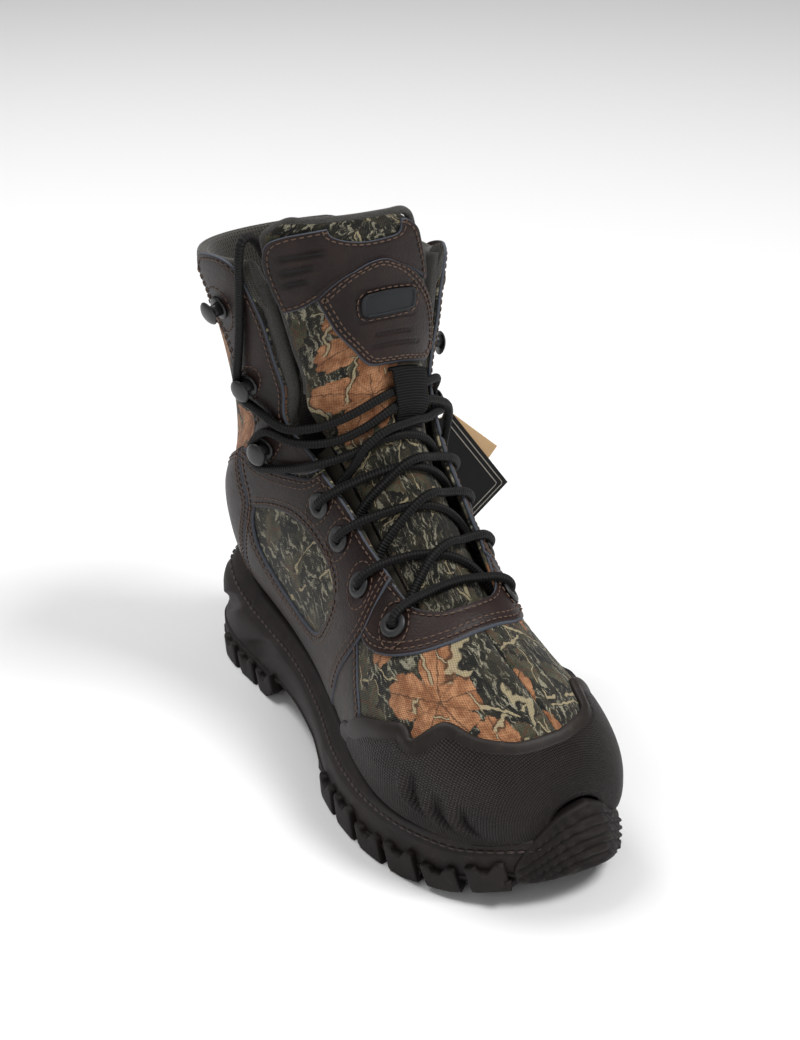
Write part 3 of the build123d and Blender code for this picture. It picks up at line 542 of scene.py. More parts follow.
def inside(points, loop):
    """Which points lie in the closed loop."""
    x, y = points[:, 0][:, None], points[:, 1][:, None]
    x0, y0 = loop[:, 0][None], loop[:, 1][None]
    x1, y1 = np.roll(loop[:, 0], -1)[None], np.roll(loop[:, 1], -1)[None]
    cross = (y0 > y) != (y1 > y)
    with np.errstate(divide="ignore", invalid="ignore"):
        hit = x < (x1 - x0) * (y - y0) / (y1 - y0) + x0
    return (cross & hit).sum(1) % 2 == 1


def away(points, loop):
    """Distance from each point to the closed loop."""
    a, d = loop, np.roll(loop, -1, 0) - loop
    size = np.maximum((d**2).sum(1), 1e-12)
    best = np.full(len(points), 1e9)
    for k in range(0, len(points), 1500):
        p = points[k:k + 1500, None]
        t = np.clip(((p - a) * d).sum(2) / size, 0, 1)
        best[k:k + 1500] = np.sqrt((((p - a) - t[..., None] * d) ** 2).sum(2)).min(1)
    return best


def loop_of(parts, scale, spacing):
    """A closed outline from smooth parts that meet at corners, at even steps in millimetres."""
    out = [resample(spline(part) * scale, spacing, ends=False) for part in parts]
    return np.vstack(out)


def inward(loop):
    d = np.roll(loop, -1, 0) - np.roll(loop, 1, 0)
    n = np.stack([-d[:, 1], d[:, 0]], 1) / np.maximum(np.linalg.norm(d, axis=1), 1e-9)[:, None]
    turn = (loop[:, 0] * np.roll(loop[:, 1], -1) - np.roll(loop[:, 0], -1) * loop[:, 1]).sum()
    return n if turn > 0 else -n


def panel(name, surface, parts, low, high, material, body="boot", nodes=(), scale=FACE, edge=0.9,
          grid=3.0, spacing=2.0, puff=0.0, seam=None, bump=None, holes=(), raw=None, rings=(), extra=None, link=True):
    """A sheet cut to an outline and laid on a surface, with rounded edges. Parts are in surface units."""
    scale = np.asarray(scale, float)
    loop = loop_of(parts, scale, spacing)
    cuts = [loop_of(hole, scale, spacing) for hole in holes]
    insets = sorted({edge * 0.12, edge * 0.45, edge, *rings})
    points, distance = [loop, *cuts], [np.zeros(len(loop)), *[np.zeros(len(c)) for c in cuts]]
    lines = [loop, *cuts]
    for line in lines:
        direction = inward(line) * (1 if line is loop else -1)
        for inset in insets:
            points.append(line + direction * inset)
    low_corner, high_corner = loop.min(0), loop.max(0)
    xs = np.arange(low_corner[0] + grid / 2, high_corner[0], grid)
    ys = np.arange(low_corner[1] + grid / 2, high_corner[1], grid)
    gx, gy = np.meshgrid(xs, ys)
    gx[::2] += grid / 2
    field = np.column_stack([gx.ravel(), gy.ravel()])

    def depth(p):
        d = np.min([away(p, line) for line in lines], axis=0)
        ok = inside(p, loop)
        for cut in cuts:
            ok &= ~inside(p, cut)
        return np.where(ok, d, -d)

    kept = [loop, *cuts]
    for index, p in enumerate(points[len(lines):]):
        inset = insets[index % len(insets)]
        d = depth(p)
        kept.append(p[d > inset * 0.93])
    d = depth(field)
    kept.append(field[d > max(insets) + grid * 0.45])
    flat = np.vstack(kept)
    borders, start = [], 0
    for line in lines:
        n = len(line)
        borders += [(start + k, start + (k + 1) % n) for k in range(n)]
        start += n
    result = delaunay_2d_cdt([Vector(p) for p in flat.tolist()], borders, [], 0, 1e-5)
    verts, faces = np.array([list(v) for v in result[0]]), np.array([list(f) for f in result[2]])
    middle = verts[faces].mean(1)
    ok = inside(middle, loop)
    for cut in cuts:
        ok &= ~inside(middle, cut)
    a, b, c = verts[faces[:, 0]], verts[faces[:, 1]], verts[faces[:, 2]]
    area = (b[:, 0] - a[:, 0]) * (c[:, 1] - a[:, 1]) - (b[:, 1] - a[:, 1]) * (c[:, 0] - a[:, 0])
    faces = faces[ok & (np.abs(area) > 1e-7)]
    used = np.unique(faces)
    remap = np.full(len(verts), -1)
    remap[used] = np.arange(len(used))
    verts, faces = verts[used], remap[faces]
    d = np.maximum(depth(verts), 0)
    p, q = verts[:, 0] / scale[0], verts[:, 1] / scale[1]
    top = high(p, q) if callable(high) else np.full(len(verts), float(high))
    base = low(p, q) if callable(low) else np.full(len(verts), float(low))
    drop = edge * (1 - np.sqrt(np.clip(1 - (1 - np.clip(d / edge, 0, 1)) ** 2, 0, 1)))
    lift = top - drop + puff * (1 - np.exp(-d / 6.0))
    if seam:
        for row in seam:
            lift = lift - 0.32 * np.exp(-(((d - row) / 0.8) ** 2))
    if bump is not None:
        lift = lift + bump(p, q, d)
    outer, under = surface(p, q, lift), surface(p, q, base)
    count = len(verts)
    rows, sides = {}, []
    for face in faces:
        for k in range(3):
            rows[(face[k], face[(k + 1) % 3])] = 1
    for (i, j) in rows:
        if (j, i) not in rows:
            sides.append((j, i, i + count, j + count))
    solid = np.vstack([outer, under])
    # faces point out of the sheet
    tri = outer[faces]
    normal = np.cross(tri[:, 1] - tri[:, 0], tri[:, 2] - tri[:, 0]).sum(0)
    probe = (outer - under)[faces[:, 0]]
    flip = (np.cross(tri[:, 1] - tri[:, 0], tri[:, 2] - tri[:, 0]) * probe).sum() < 0
    all_faces = [f for f in faces] + [f[::-1] + count for f in faces] + [np.array(f) for f in sides]
    if flip:
        all_faces = [f[::-1] for f in all_faces]
    marks = [0] * (2 * len(faces)) + [1 if raw else 0] * len(sides)
    if raw:
        near_edge = d[faces].max(1) < edge * 0.5
        for k in np.nonzero(near_edge)[0]:
            marks[k] = 1
    uv = np.vstack([verts, verts]) * 0.001
    data = {"edge": np.concatenate([d, np.zeros(count)])}
    if extra is not None:
        for key, maker in extra.items():
            values = maker(p, q, d)
            data[key] = np.concatenate([values, values])
    return build(name, solid, all_faces, material, body if link else None, nodes, uv, data, marks, (raw,) if raw else ())


def grid_faces(rows, columns, wrap_rows=False, wrap_columns=False):
    faces = []
    for i in range(rows if wrap_rows else rows - 1):
        for j in range(columns if wrap_columns else columns - 1):
            a, b = i * columns + j, i * columns + (j + 1) % columns
            k = (i + 1) % rows
            faces.append((a, b, k * columns + (j + 1) % columns, k * columns + j))
    return faces


def shell(name, stations, near, far, inner, outer, material, body="boot", nodes=(), step=3.0):
    """A closed layer on the sections between two angle edges, with the same number of columns in every row."""
    widest = max(float(far(s) - near(s)) for s in stations)
    columns = int(widest / step) + 2
    share = np.linspace(0, 1, columns)
    at = np.repeat(np.asarray(stations, float), columns)
    angle = np.concatenate([near(s) + (far(s) - near(s)) * share for s in stations])
    rows = len(stations)
    top = outer(at, angle) if callable(outer) else np.full(len(at), float(outer))
    base = inner(at, angle) if callable(inner) else np.full(len(at), float(inner))
    verts = np.vstack([section(at, angle, top), section(at, angle, base)])
    n = rows * columns
    faces = grid_faces(rows, columns)
    faces += [tuple(v + n for v in f[::-1]) for f in grid_faces(rows, columns)]
    ring = [j for j in range(columns)] + [i * columns + columns - 1 for i in range(1, rows)]
    ring += [(rows - 1) * columns + j for j in range(columns - 2, -1, -1)] + [i * columns for i in range(rows - 2, 0, -1)]
    faces += [(b, a, a + n, b + n) for a, b in zip(ring, ring[1:] + ring[:1])]
    uv = np.column_stack([at * FACE[0], angle * FACE[1]]) * 0.001
    return build(name, verts, faces, material, body, nodes, np.vstack([uv, uv]))


def sweep_loop(name, profile_points, material, body="boot", nodes=(), uv_scale=1.0):
    """A closed solid from a row of equal closed loops, with flat ends. profile_points is (rows, columns, 3)."""
    rows, columns, _ = profile_points.shape
    verts = profile_points.reshape(-1, 3)
    faces = grid_faces(rows, columns, wrap_columns=True)
    faces.append(tuple(range(columns))[::-1])
    faces.append(tuple((rows - 1) * columns + j for j in range(columns)))
    size = np.linalg.norm(np.diff(profile_points, axis=0), axis=2).mean(1)
    along_rows = np.concatenate([[0], np.cumsum(size)])
    around = np.linalg.norm(np.roll(profile_points, -1, 1) - profile_points, axis=2).mean(0)
    around = np.concatenate([[0], np.cumsum(around)[:-1]])
    uv = np.column_stack([np.repeat(along_rows, columns), np.tile(around, rows)]) * uv_scale
    return build(name, verts, faces, material, body, nodes, uv)


def frames(points):
    """Directions that turn as little as possible along a line."""
    p = np.asarray(points, float)
    tangent = np.gradient(p, axis=0)
    tangent /= np.maximum(np.linalg.norm(tangent, axis=1), 1e-12)[:, None]
    side = np.cross(tangent[0], [0.3, 0.2, 0.93])
    side /= np.linalg.norm(side)
    sides = []
    for t in tangent:
        side = side - t * side.dot(t)
        side /= np.linalg.norm(side)
        sides.append(side)
    sides = np.array(sides)
    return tangent, sides, np.cross(tangent, sides)


def tube(name, points, radius, material, body, nodes=(), around=12, braid=0.0, pitch=0.0088, taper=None):
    """A round cord along the points, with a plaited surface if braid is above 0."""
    p = np.asarray(points, float)
    tangent, side, up = frames(p)
    size = np.concatenate([[0], np.cumsum(np.linalg.norm(np.diff(p, axis=0), axis=1))])
    turn = np.linspace(0, 2 * np.pi, around, endpoint=False)
    reach = np.full((len(p), around), radius)
    if braid:
        wave = np.sin(size[:, None] / pitch * 2 * np.pi * 2 + turn[None] * 2)
        other = np.sin(size[:, None] / pitch * 2 * np.pi * 2 - turn[None] * 2)
        reach = reach * (1 + braid * wave * other)
    if taper is not None:
        reach = reach * taper[:, None]
    ring = side[:, None] * np.cos(turn)[None, :, None] + up[:, None] * np.sin(turn)[None, :, None]
    verts = (p[:, None] + ring * reach[..., None]).reshape(-1, 3)
    faces = grid_faces(len(p), around, wrap_columns=True)
    faces.append(tuple(range(around))[::-1])
    faces.append(tuple((len(p) - 1) * around + j for j in range(around)))
    uv = np.column_stack([np.repeat(size / pitch * 2, around), np.tile(turn / (2 * np.pi) * 2, len(p))])
    return build(name, verts, faces, material, body, nodes, uv)


def stitch_mesh(name, runs, material, body, radius=0.00034, length=0.0025, pitch=0.0036):
    """Threads along lines on the surface; each run is a row of points in the row frame."""
    shape = [(-0.5, 0.3), (-0.36, 0.95), (0.0, 1.12), (0.36, 0.95), (0.5, 0.3)]
    verts, faces = [], []
    turn = np.linspace(0, 2 * np.pi, 6, endpoint=False)
    for run in runs:
        p = resample(run, pitch)
        for a, b in zip(p, p[1:]):
            centre, direction = (a + b) / 2, (b - a) / max(np.linalg.norm(b - a), 1e-9)
            other = np.cross(direction, [0.31, 0.22, 0.92])
            other /= np.linalg.norm(other)
            third = np.cross(direction, other)
            start = len(verts)
            for x, r in shape:
                for angle in turn:
                    verts.append(centre + direction * (x * length) + (other * math.cos(angle) + third * math.sin(angle)) * (r * radius))
            for k in range(len(shape) - 1):
                for j in range(6):
                    m = (j + 1) % 6
                    faces.append((start + k * 6 + j, start + k * 6 + m, start + k * 6 + 6 + m, start + k * 6 + 6 + j))
            faces.append(tuple(start + j for j in range(6))[::-1])
            faces.append(tuple(start + (len(shape) - 1) * 6 + j for j in range(6)))
    return build(name, verts, faces, material, body)


def turn_of(outline):
    """1 where the inside of a closed outline lies to the left of its lines, else -1."""
    p = np.vstack([np.asarray(part, float)[:-1] for part in outline]) * np.asarray(FACE)
    area = (p[:, 0] * np.roll(p[:, 1], -1) - np.roll(p[:, 0], -1) * p[:, 1]).sum()
    return 1 if area > 0 else -1


def seam_line(surface, line, inset, lift, scale=FACE):
    """A sewing line beside a drawn line: inset millimetres to its left, as points in the row frame."""
    p = resample(spline(line) * np.asarray(scale), 1.2)
    d = np.gradient(p, axis=0)
    n = np.stack([-d[:, 1], d[:, 0]], 1) / np.maximum(np.linalg.norm(d, axis=1), 1e-9)[:, None]
    p = p + n * inset
    p = p / np.asarray(scale)
    lifts = lift(p[:, 0], p[:, 1]) if callable(lift) else lift
    return surface(p[:, 0], p[:, 1], lifts)


def place_on(at, angle, offset):
    """Origin and axes on the surface: away from the ridge, along the boot, outwards."""
    here = section(at, angle, offset)[0]
    sign = 1 if angle > 0 else -1
    x = section(at, angle + sign, offset)[0] - section(at, angle - sign, offset)[0]
    y = section(at + 0.05, angle, offset)[0] - section(at - 0.05, angle, offset)[0]
    x /= np.linalg.norm(x)
    z = np.cross(x, y)
    z /= np.linalg.norm(z)
    if z.dot(section(at, angle, offset + 1)[0] - here) < 0:
        z = -z
    return here, x, np.cross(z, x), z


def lathe(profile, place, stretch=(1.0, 1.0), around=32):
    """Verts and faces of a turned piece; the profile is (radius, height) in millimetres, closed on the axis or not."""
    origin, x, y, z = place
    turn = np.linspace(0, 2 * np.pi, around, endpoint=False)
    verts = []
    for r, h in profile:
        for a in turn:
            verts.append(origin + (x * (r * stretch[0] * math.cos(a)) + y * (r * stretch[1] * math.sin(a)) + z * h) * 0.001)
    return np.array(verts), len(profile), around


def turned(name, profile, places, material, body, nodes, stretch=(1.0, 1.0), closed=True, around=32):
    verts, faces, start = [], [], 0
    for place in places:
        v, rows, n = lathe(profile, place, stretch, around)
        verts.append(v)
        part = grid_faces(rows, n, wrap_rows=closed, wrap_columns=True)
        if not closed:
            part += [tuple(range(n))[::-1], tuple((rows - 1) * n + j for j in range(n))]
        origin, x, y, z = place
        if np.dot(np.cross(x, y), z) > 0:
            part = [f[::-1] for f in part]
        faces += [tuple(i + start for i in f) for f in part]
        start += len(v)
    return build(name, np.vstack(verts), faces, material, body, nodes)


# ------------------------------------------------------------------ camera
target = Vector(metres([(3, 0, 126)])[0])
azimuth, elevation, distance = math.radians(-30.4), math.radians(26.8), 0.900
camera = bpy.data.objects.new("camera", bpy.data.cameras.new("camera"))
bpy.context.scene.collection.objects.link(camera)
camera.location = target + distance * Vector((
    math.cos(elevation) * math.sin(azimuth), -math.cos(elevation) * math.cos(azimuth), math.sin(elevation)
))
camera.rotation_euler = (target - camera.location).to_track_quat("-Z", "Y").to_euler()
camera.data.lens, camera.data.sensor_width = 63.97, 36.0
camera.data.clip_start = 0.01
bpy.context.scene.camera = camera


# ------------------------------------------------------------------ lace and its tips
def nurbs_line(name, points):
    """The points of a smooth open curve drawn near the given points."""
    data = bpy.data.curves.new(name, "CURVE")
    data.dimensions, data.resolution_u = "3D", 8
    line = data.splines.new("NURBS")
    line.points.add(len(points) - 1)
    for control, point in zip(line.points, points):
        control.co = (*point, 1.0)
    line.order_u = 3
    line.use_endpoint_u = True
    made = bpy.data.objects.new(name, data)
    bpy.context.scene.collection.objects.link(made)
    bpy.context.view_layer.update()
    mesh = made.to_mesh()
    out = np.array([list(v.co) for v in mesh.vertices])
    made.to_mesh_clear()
    bpy.data.objects.remove(made)
    return out


route = np.array([section(*place)[0] for place in LACE])
lace_line = resample(nurbs_line("lace_route", route), 0.0009)
lace = tube("lace", lace_line, 0.0022, "lace", "boot", ["lace"], around=14, braid=0.03, pitch=0.0062)


def tip(end, inner):
    """A crimped tip in line with the last run of the lace."""
    out = (end - inner) / np.linalg.norm(end - inner)
    steps = np.array([0.0, 0.0004, 0.002, 0.004, 0.0045, 0.005, 0.0055, 0.016, 0.0176, 0.018])
    shrink = np.array([0.9, 1.0, 1.0, 1.0, 0.93, 0.93, 1.0, 0.98, 0.9, 0.6])
    return end + out * steps[:, None], shrink


tips, first, names = [], None, ("lace_tip_collar", "lace_tip_medial")
for index, (end, inner) in enumerate(((lace_line[0], lace_line[2]), (lace_line[-1], lace_line[-3]))):
    line, shrink = tip(end, inner)
    tips.append(tube(names[index], line, 0.0019, "gloss_black", "boot", [], around=16, taper=shrink))
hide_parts("lace_tips")
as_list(tips)

tag_line = resample(nurbs_line("tag_route", metres(TAG_CORD)), 0.0006)
tube("tag_cord", tag_line, 0.0007, "lace", "boot", ["hang_tag_cord"],
     around=8, braid=0.05, pitch=0.003)

# ------------------------------------------------------------------ fabric upper
def opening(side):
    seam = along((4.55, 0.4), (5.0, 27))
    edge = EDGE[side]
    return lambda at: float(seam(at)) if at < 5 else float(edge(at))


def medial_drop(at, angle):
    """The medial side of the collar stands a little lower than the lateral side."""
    wrapped = np.mod(angle, 360)
    share = np.clip(1 - np.abs(wrapped - 75) / 75, 0, 1)
    return 0.55 * share * np.clip((at - 14) / 2.4, 0, 1)


def crown(at, angle):
    """The fabric of the vamp swells a little between its seams."""
    wrapped = np.abs(np.mod(angle + 180, 360) - 180)
    lift = 0.9 * np.exp(-(((at - 3.4) / 1.3) ** 2)) * np.clip(1 - wrapped / 70, 0, 1)
    lift = lift + 0.8 * np.exp(-(((at - 8.8) / 1.2) ** 2) - (((wrapped - 86) / 14) ** 2))
    return lift


stations = np.arange(0.5, 16.01, 0.25)
shell("upper_fabric", stations, opening(1), lambda at: 360 - opening(-1)(at), -1.4, crown, "camo",
      nodes=["vamp_fabric", "quarter_fabric_lateral", "quarter_fabric_medial"])
shell("lining", np.arange(0.8, 15.81, 0.3), lambda at: float(along((4.7, 0.6), (5.2, 57))(at)) if at < 5.2 else float(LINER[1](at)),
      lambda at: 360 - (float(along((4.7, 0.6), (5.2, 57))(at)) if at < 5.2 else float(LINER[-1](at))), -7.5, -6.8, "lining",
      nodes=["lining"], step=4.0)

# padded collar: its roll goes over the top edge and down inside
profile = spline([(15.6, 0.1), (15.95, 0.2), (16.3, 0.15), (16.5, -0.9), (16.58, -3.4), (16.48, -6.6), (16.1, -8.4),
                  (15.3, -9.2), (14.2, -9.3), (13.0, -8.6), (11.9, -7.7), (12.1, -7.0), (13.2, -5.5), (15.0, -3.0)],
                 closed=True, count=5)
angles = np.linspace(0, 1, 96)
rows = []
for share in angles:
    near, far = LINER[1](profile[:, 0]) - 3, 360 - LINER[-1](profile[:, 0]) + 3
    angle = near + (far - near) * share
    at = profile[:, 0] - medial_drop(profile[:, 0], angle)
    rows.append(section(at, angle, profile[:, 1]))
collar = sweep_loop("collar_padding", np.array(rows)[::-1], "lining", nodes=["collar_padding"])


for side, name in SIDES.items():
    edge_at = np.arange(5.5, 16.01, 0.08)
    line = section(edge_at, side * (LINER[side](edge_at) - 1.2), np.interp(edge_at, (5.5, 15, 16), (-4.9, -4.9, -5.6)))
    tube(f"bootie_edge_{name}", resample(line, 0.002), 0.0034, "lining", "boot", [], around=14)

# ------------------------------------------------------------------ leather overlays
def mirrored(parts, side):
    """A lateral outline, given with positive angles, on one side of the boot."""
    return [[(at, side * angle) for at, angle in part] for part in parts]


def ring_hole(at, angle, radius=3.1):
    turn = np.linspace(0, 2 * np.pi, 13)
    points = [(at + radius / FACE[0] * math.cos(a), angle + radius / FACE[1] * math.sin(a)) for a in turn]
    return [points]


thread_runs = []


def sew(surface, outline, part, insets, lift, runs=None, skip=(0, None), outside=False):
    """Threads beside one part of an outline, each inset counted into the piece."""
    way = turn_of(outline) * (-1 if outside else 1)
    line = outline[part][skip[0]:skip[1]]
    for inset in insets:
        (thread_runs if runs is None else runs).append(seam_line(surface, line, inset * way, lift))


OVER = 2.05
FLAP = {
    -1: [(6.12, 33.5), (6.46, 36), (7.25, 41.5), (8.1, 44.5), (9.12, 48.3), (9.6, 50.3)],
    1: [(6.12, 32.5), (6.6, 37), (7.4, 41), (8.05, 42), (8.8, 42.6), (9.6, 43.6)],
}
for side, name in SIDES.items():
    strap = [(9.6, float(EDGE[side](9.6)) + 0.1), (9.75, 57), (10.3, 65.5), (11.3, 80), (12.0, 87.5), (12.25, 93.5)]
    back = [(12.25, 93.5), (11.4, 95.5), (10.7, 99), (10.25, 118), (9.95, 131), (9.9, 150)]
    bottom = [(9.9, 150), (9.2, 147), (8.2, 142), (7.2, 134), (6.35, 126)]
    front = [(6.35, 126), (6.16, 100), (6.1, 83), (5.9, 66), (5.86, 56), (5.98, 44), (6.12, float(FLAP[side][0][1]))]
    window = [[(10.55, 95), (10.1, 84), (9.5, 75), (8.8, 69.6), (8.1, 66.6), (7.45, 65.6), (7.1, 69)],
              [(7.1, 69), (7.02, 76), (7.12, 88), (7.38, 98), (7.9, 104.5), (8.6, 107.8), (9.3, 108)],
              [(9.3, 108), (9.9, 105.5), (10.35, 101), (10.55, 95)]]
    outline = mirrored([FLAP[side], strap, back, bottom, front], side)
    panel(f"quarter_overlay_{name}", section, outline, 0.25, OVER, "leather", nodes=[f"quarter_overlay_{name}"],
          holes=[mirrored(window, side)] + [ring_hole(at, side * angle) for at, angle in EYELETS[side][1:]],
          raw="raw_edge", rings=(1.7, 2.4, 3.2, 4.4), seam=(2.4,), puff=0.35)
    sew(section, outline, 0, (2.2,), OVER + 0.12)
    sew(section, outline, 1, (2.2, 4.8), OVER + 0.2)
    sew(section, outline, 4, (2.2, 4.8), OVER + 0.15, skip=(1, None))
    sew(section, outline, 2, (2.2,), OVER + 0.15)
    for part in range(3):
        sew(section, mirrored(window, side), part, (2.2, 4.6), OVER + 0.15, outside=True)

    # facing of the hooks, under the ankle strap at its lower end
    strap_under = [(9.7, float(EDGE[side](9.7)) + 0.2), (10.0, 59.5), (10.9, 73.5), (11.7, 80.5), (12.1, 85)]
    width = 38 if side < 0 else 33
    rear = [(12.1, 85), (12.45, 82), (12.95, 86), (13.5, 93), (14.3, 97), (15.3, 102), (16.3, 106)] if side < 0 else \
        [(12.1, 85), (12.5, 84), (13.2, 87), (14.2, 91), (15.1, 95), (15.75, 97)]
    top_at = 16.58 if side < 0 else 16.05
    top_edge = [rear[-1], (top_at, rear[-1][1] - 10), (top_at + 0.08, 80 if side < 0 else 72), (top_at - 0.02, 70 if side < 0 else 64),
                (top_at - 0.28, float(EDGE[side](16)) + 2.0)]
    rim = [(top_at - 0.28, float(EDGE[side](16)) + 2.0), (15.3, float(EDGE[side](15.3)) + 0.4), (14.2, float(EDGE[side](14.2)) - 0.2),
           (12.75, float(EDGE[side](12.75)) - 0.4), (11.5, float(EDGE[side](11.5)) - 0.5), (10.4, float(EDGE[side](10.4)) - 0.5),
           (9.7, float(EDGE[side](9.7)) + 0.2)]
    outline = mirrored([strap_under, rear, top_edge, rim], side)
    panel(f"hook_facing_{name}", section, outline, 0.2, 1.75, "leather", nodes=[f"hook_facing_{name}"],
          raw="raw_edge", rings=(1.7, 2.4, 3.2, 4.4), seam=(2.4,), puff=0.5)
    sew(section, outline, 3, (2.2,), 2.1, skip=(0, -2))
    sew(section, outline, 1, (2.2, 4.6), 2.1, skip=(1, None))
    sew(section, outline, 2, (2.2,), 2.1)

# heel backstay
backstay = [[(12.3, 94), (11.4, 96), (10.75, 99), (10.25, 118), (9.9, 135)], [(9.9, 135), (9.85, 180), (9.9, 225)],
            [(9.9, 225), (10.25, 242), (10.75, 261), (11.4, 264), (12.3, 266)],
            [(12.3, 266), (12.75, 235), (12.95, 205), (13.0, 180), (12.95, 155), (12.75, 125), (12.3, 94)]]
panel("heel_backstay", section, backstay, 0.25, 2.3, "leather", nodes=["heel_backstay"], raw="raw_edge",
      rings=(1.7, 2.4, 3.2, 4.4), seam=(2.4,), puff=0.3)
for part in (0, 2, 3):
    sew(section, backstay, part, (2.2, 4.6), 2.5)

# saddle across the foot at the foot of the throat
saddle = [[(5.95, -60), (5.5, -57), (4.95, -47), (4.5, -33), (4.28, -18), (4.25, -4), (4.3, 12), (4.42, 26), (4.8, 42), (5.4, 55), (5.95, 60)],
          [(5.95, 60), (5.98, 48), (6.05, 34)],
          [(6.05, 34), (5.6, 30), (5.3, 27), (4.98, 18), (4.84, 6), (4.82, -4), (4.9, -15), (5.25, -26), (5.6, -30), (6.05, -34)],
          [(6.05, -34), (5.98, -48), (5.95, -60)]]
panel("vamp_saddle", section, saddle, 0.2, lambda at, angle: crown(at, angle) + 1.6, "leather", nodes=["vamp_saddle"], raw="raw_edge",
      holes=[ring_hole(5.3, -39), ring_hole(5.3, 39)], rings=(1.7, 2.4, 3.2, 4.4), seam=(2.4,), puff=0.2)
sew(section, saddle, 0, (2.2, 4.6), lambda at, angle: crown(at, angle) + 1.75)
sew(section, saddle, 2, (2.2,), lambda at, angle: crown(at, angle) + 1.75)

# small leather panel between the toe cap and the quarter
for side, name in SIDES.items():
    patch = [[(6.25, 127), (6.2, 100), (6.15, 82), (5.95, 62)], [(5.95, 62), (5.4, 71), (5.0, 79), (5.1, 92), (5.3, 125)],
             [(5.3, 125), (5.8, 126), (6.25, 127)]]
    panel(f"side_patch_{name}", section, mirrored(patch, side), 0.1, 1.3, "leather", raw="raw_edge",
          rings=(1.7, 2.4, 3.2), seam=(2.4,))
    sew(section, mirrored(patch, side), 1, (2.0,), 1.45)


# ------------------------------------------------------------------ toe cap
def cap_plain(at, angle, d):
    """1 on the smooth rolled border, 0 on the embossed field."""
    return np.clip(1 - (d - 6.5) / 1.5, 0, 1)


def gills(at, angle, d):
    """Rolled border, and three slanting ridges on each side."""
    lift = 0.75 * np.exp(-(((d - 3.2) / 2.2) ** 2)) - 0.35 * np.exp(-(((d - 7.2) / 1.0) ** 2))
    sideways = np.abs(angle)
    for start, foot in ((3.46, 80), (2.9, 85), (2.36, 85)):
        across = at - start + (sideways - foot) * 0.014 + ((sideways - foot - 8) / 40) ** 2
        span = np.clip(1.25 - np.abs(sideways - foot - 8) / 12, 0, 1)
        lift = lift + 1.9 * np.exp(-((across / 0.12) ** 2)) * span
        lift = lift - 1.6 * np.exp(-(((across + 0.22) / 0.1) ** 2)) * span
    return lift


cap_top = {
    -1: [(5.78, 116), (5.6, 100), (5.3, 88), (4.85, 76), (4.4, 68), (4.05, 61.5), (3.82, 57.5), (3.66, 58.5), (3.52, 60), (3.42, 57),
         (3.34, 52), (3.2, 44), (3.0, 40.5), (2.75, 39), (2.5, 37), (2.25, 32), (2.02, 25), (1.9, 14), (1.88, 0)],
    1: [(5.78, 116), (5.6, 100), (5.3, 88), (4.85, 76), (4.4, 68), (4.05, 61.5), (3.82, 57.5), (3.66, 58.5), (3.52, 60), (3.42, 57),
        (3.34, 50), (3.2, 42), (3.05, 35), (2.75, 32), (2.4, 30), (2.2, 24), (2.06, 16), (1.95, 8), (1.88, 0)],
}


def cap_surface(at, angle, offset=0.0):
    """Points of the sections, for the toe cap."""
    at, angle, offset = np.broadcast_arrays(np.asarray(at, float), angle, offset)
    return section(at, angle, offset)


cap_outline = [
    [(at, -angle) for at, angle in cap_top[-1]],
    [(at, angle) for at, angle in cap_top[1][::-1]],
    [(5.78, 116), (5.0, 119), (3.5, 119), (2.0, 119), (0.9, 119), (0.02, 119)],
    [(0.02, 119), (0.0, 60), (0.0, 0), (0.0, -60), (0.02, -119)],
    [(0.02, -119), (0.9, -119), (2.0, -119), (3.5, -119), (5.0, -119), (5.78, -116)],
]


def cap_distance():
    """Distance to the top edge only, for the border of the cap."""
    line = loop_of(cap_outline[:2], np.array(FACE), 1.5)

    def value(at, angle):
        p = np.column_stack([at * FACE[0], angle * FACE[1]])
        best = np.full(len(p), 1e9)
        for k in range(0, len(p), 1500):
            best[k:k + 1500] = np.sqrt(((p[k:k + 1500, None] - line[None]) ** 2).sum(2)).min(1)
        return best

    return value


cap_far = cap_distance()
panel("toe_cap", cap_surface, cap_outline, 0.2, 2.6, "cap", nodes=["toe_cap"], edge=1.5, grid=0.9, spacing=1.4,
      rings=(2.4, 3.4, 4.6, 6.0), bump=lambda at, angle, d: gills(at, angle, cap_far(at, angle)),
      extra={"plain": lambda at, angle, d: cap_plain(at, angle, cap_far(at, angle)),
             # how deep the gills and border hollow go, for painted shade in them
             "groove_shade": lambda at, angle, d: np.clip(-gills(at, angle, cap_far(at, angle)) / 0.9 - 0.15, 0, 1)})

# ------------------------------------------------------------------ tongue
tongue_at = np.concatenate([[5.15, 5.3], np.arange(5.6, 17.4, 0.3), [17.55, 17.7]])


def tongue_pad():
    """The padded tongue: a swollen pad whose edges are drawn in."""
    half = spline([(-1.0, -3.4), (-0.985, -1.6), (-0.94, -0.5), (-0.86, -0.05), (-0.5, 0.0), (0.0, 0.0), (0.5, 0.0), (0.86, -0.05),
                   (0.94, -0.5), (0.985, -1.6), (1.0, -3.4), (0.97, -5.2), (0.86, -6.6), (0.5, -7.0), (0.0, -7.0), (-0.5, -7.0),
                   (-0.86, -6.6), (-0.97, -5.2)], closed=True, count=5)
    rows = []
    for at in tongue_at:
        low, high = -float(TONGUE[-1](at)), float(TONGUE[1](at))
        close = np.clip((17.85 - at) / 0.55, 0.12, 1)
        middle, width = (low + high) / 2, (high - low) / 2 * (0.75 + 0.25 * close)
        thickness = 0.35 + 0.65 * np.sqrt(close)
        depth = -3.5 + (half[:, 1] + 3.5) * thickness
        swell = 0.5 * np.sin(at * 2.1) * (depth > -1)
        rows.append(section(np.full(len(half), at), middle + width * half[:, 0], TONGUE_FACE(at) + depth + swell * 0.4))
    return np.array(rows)


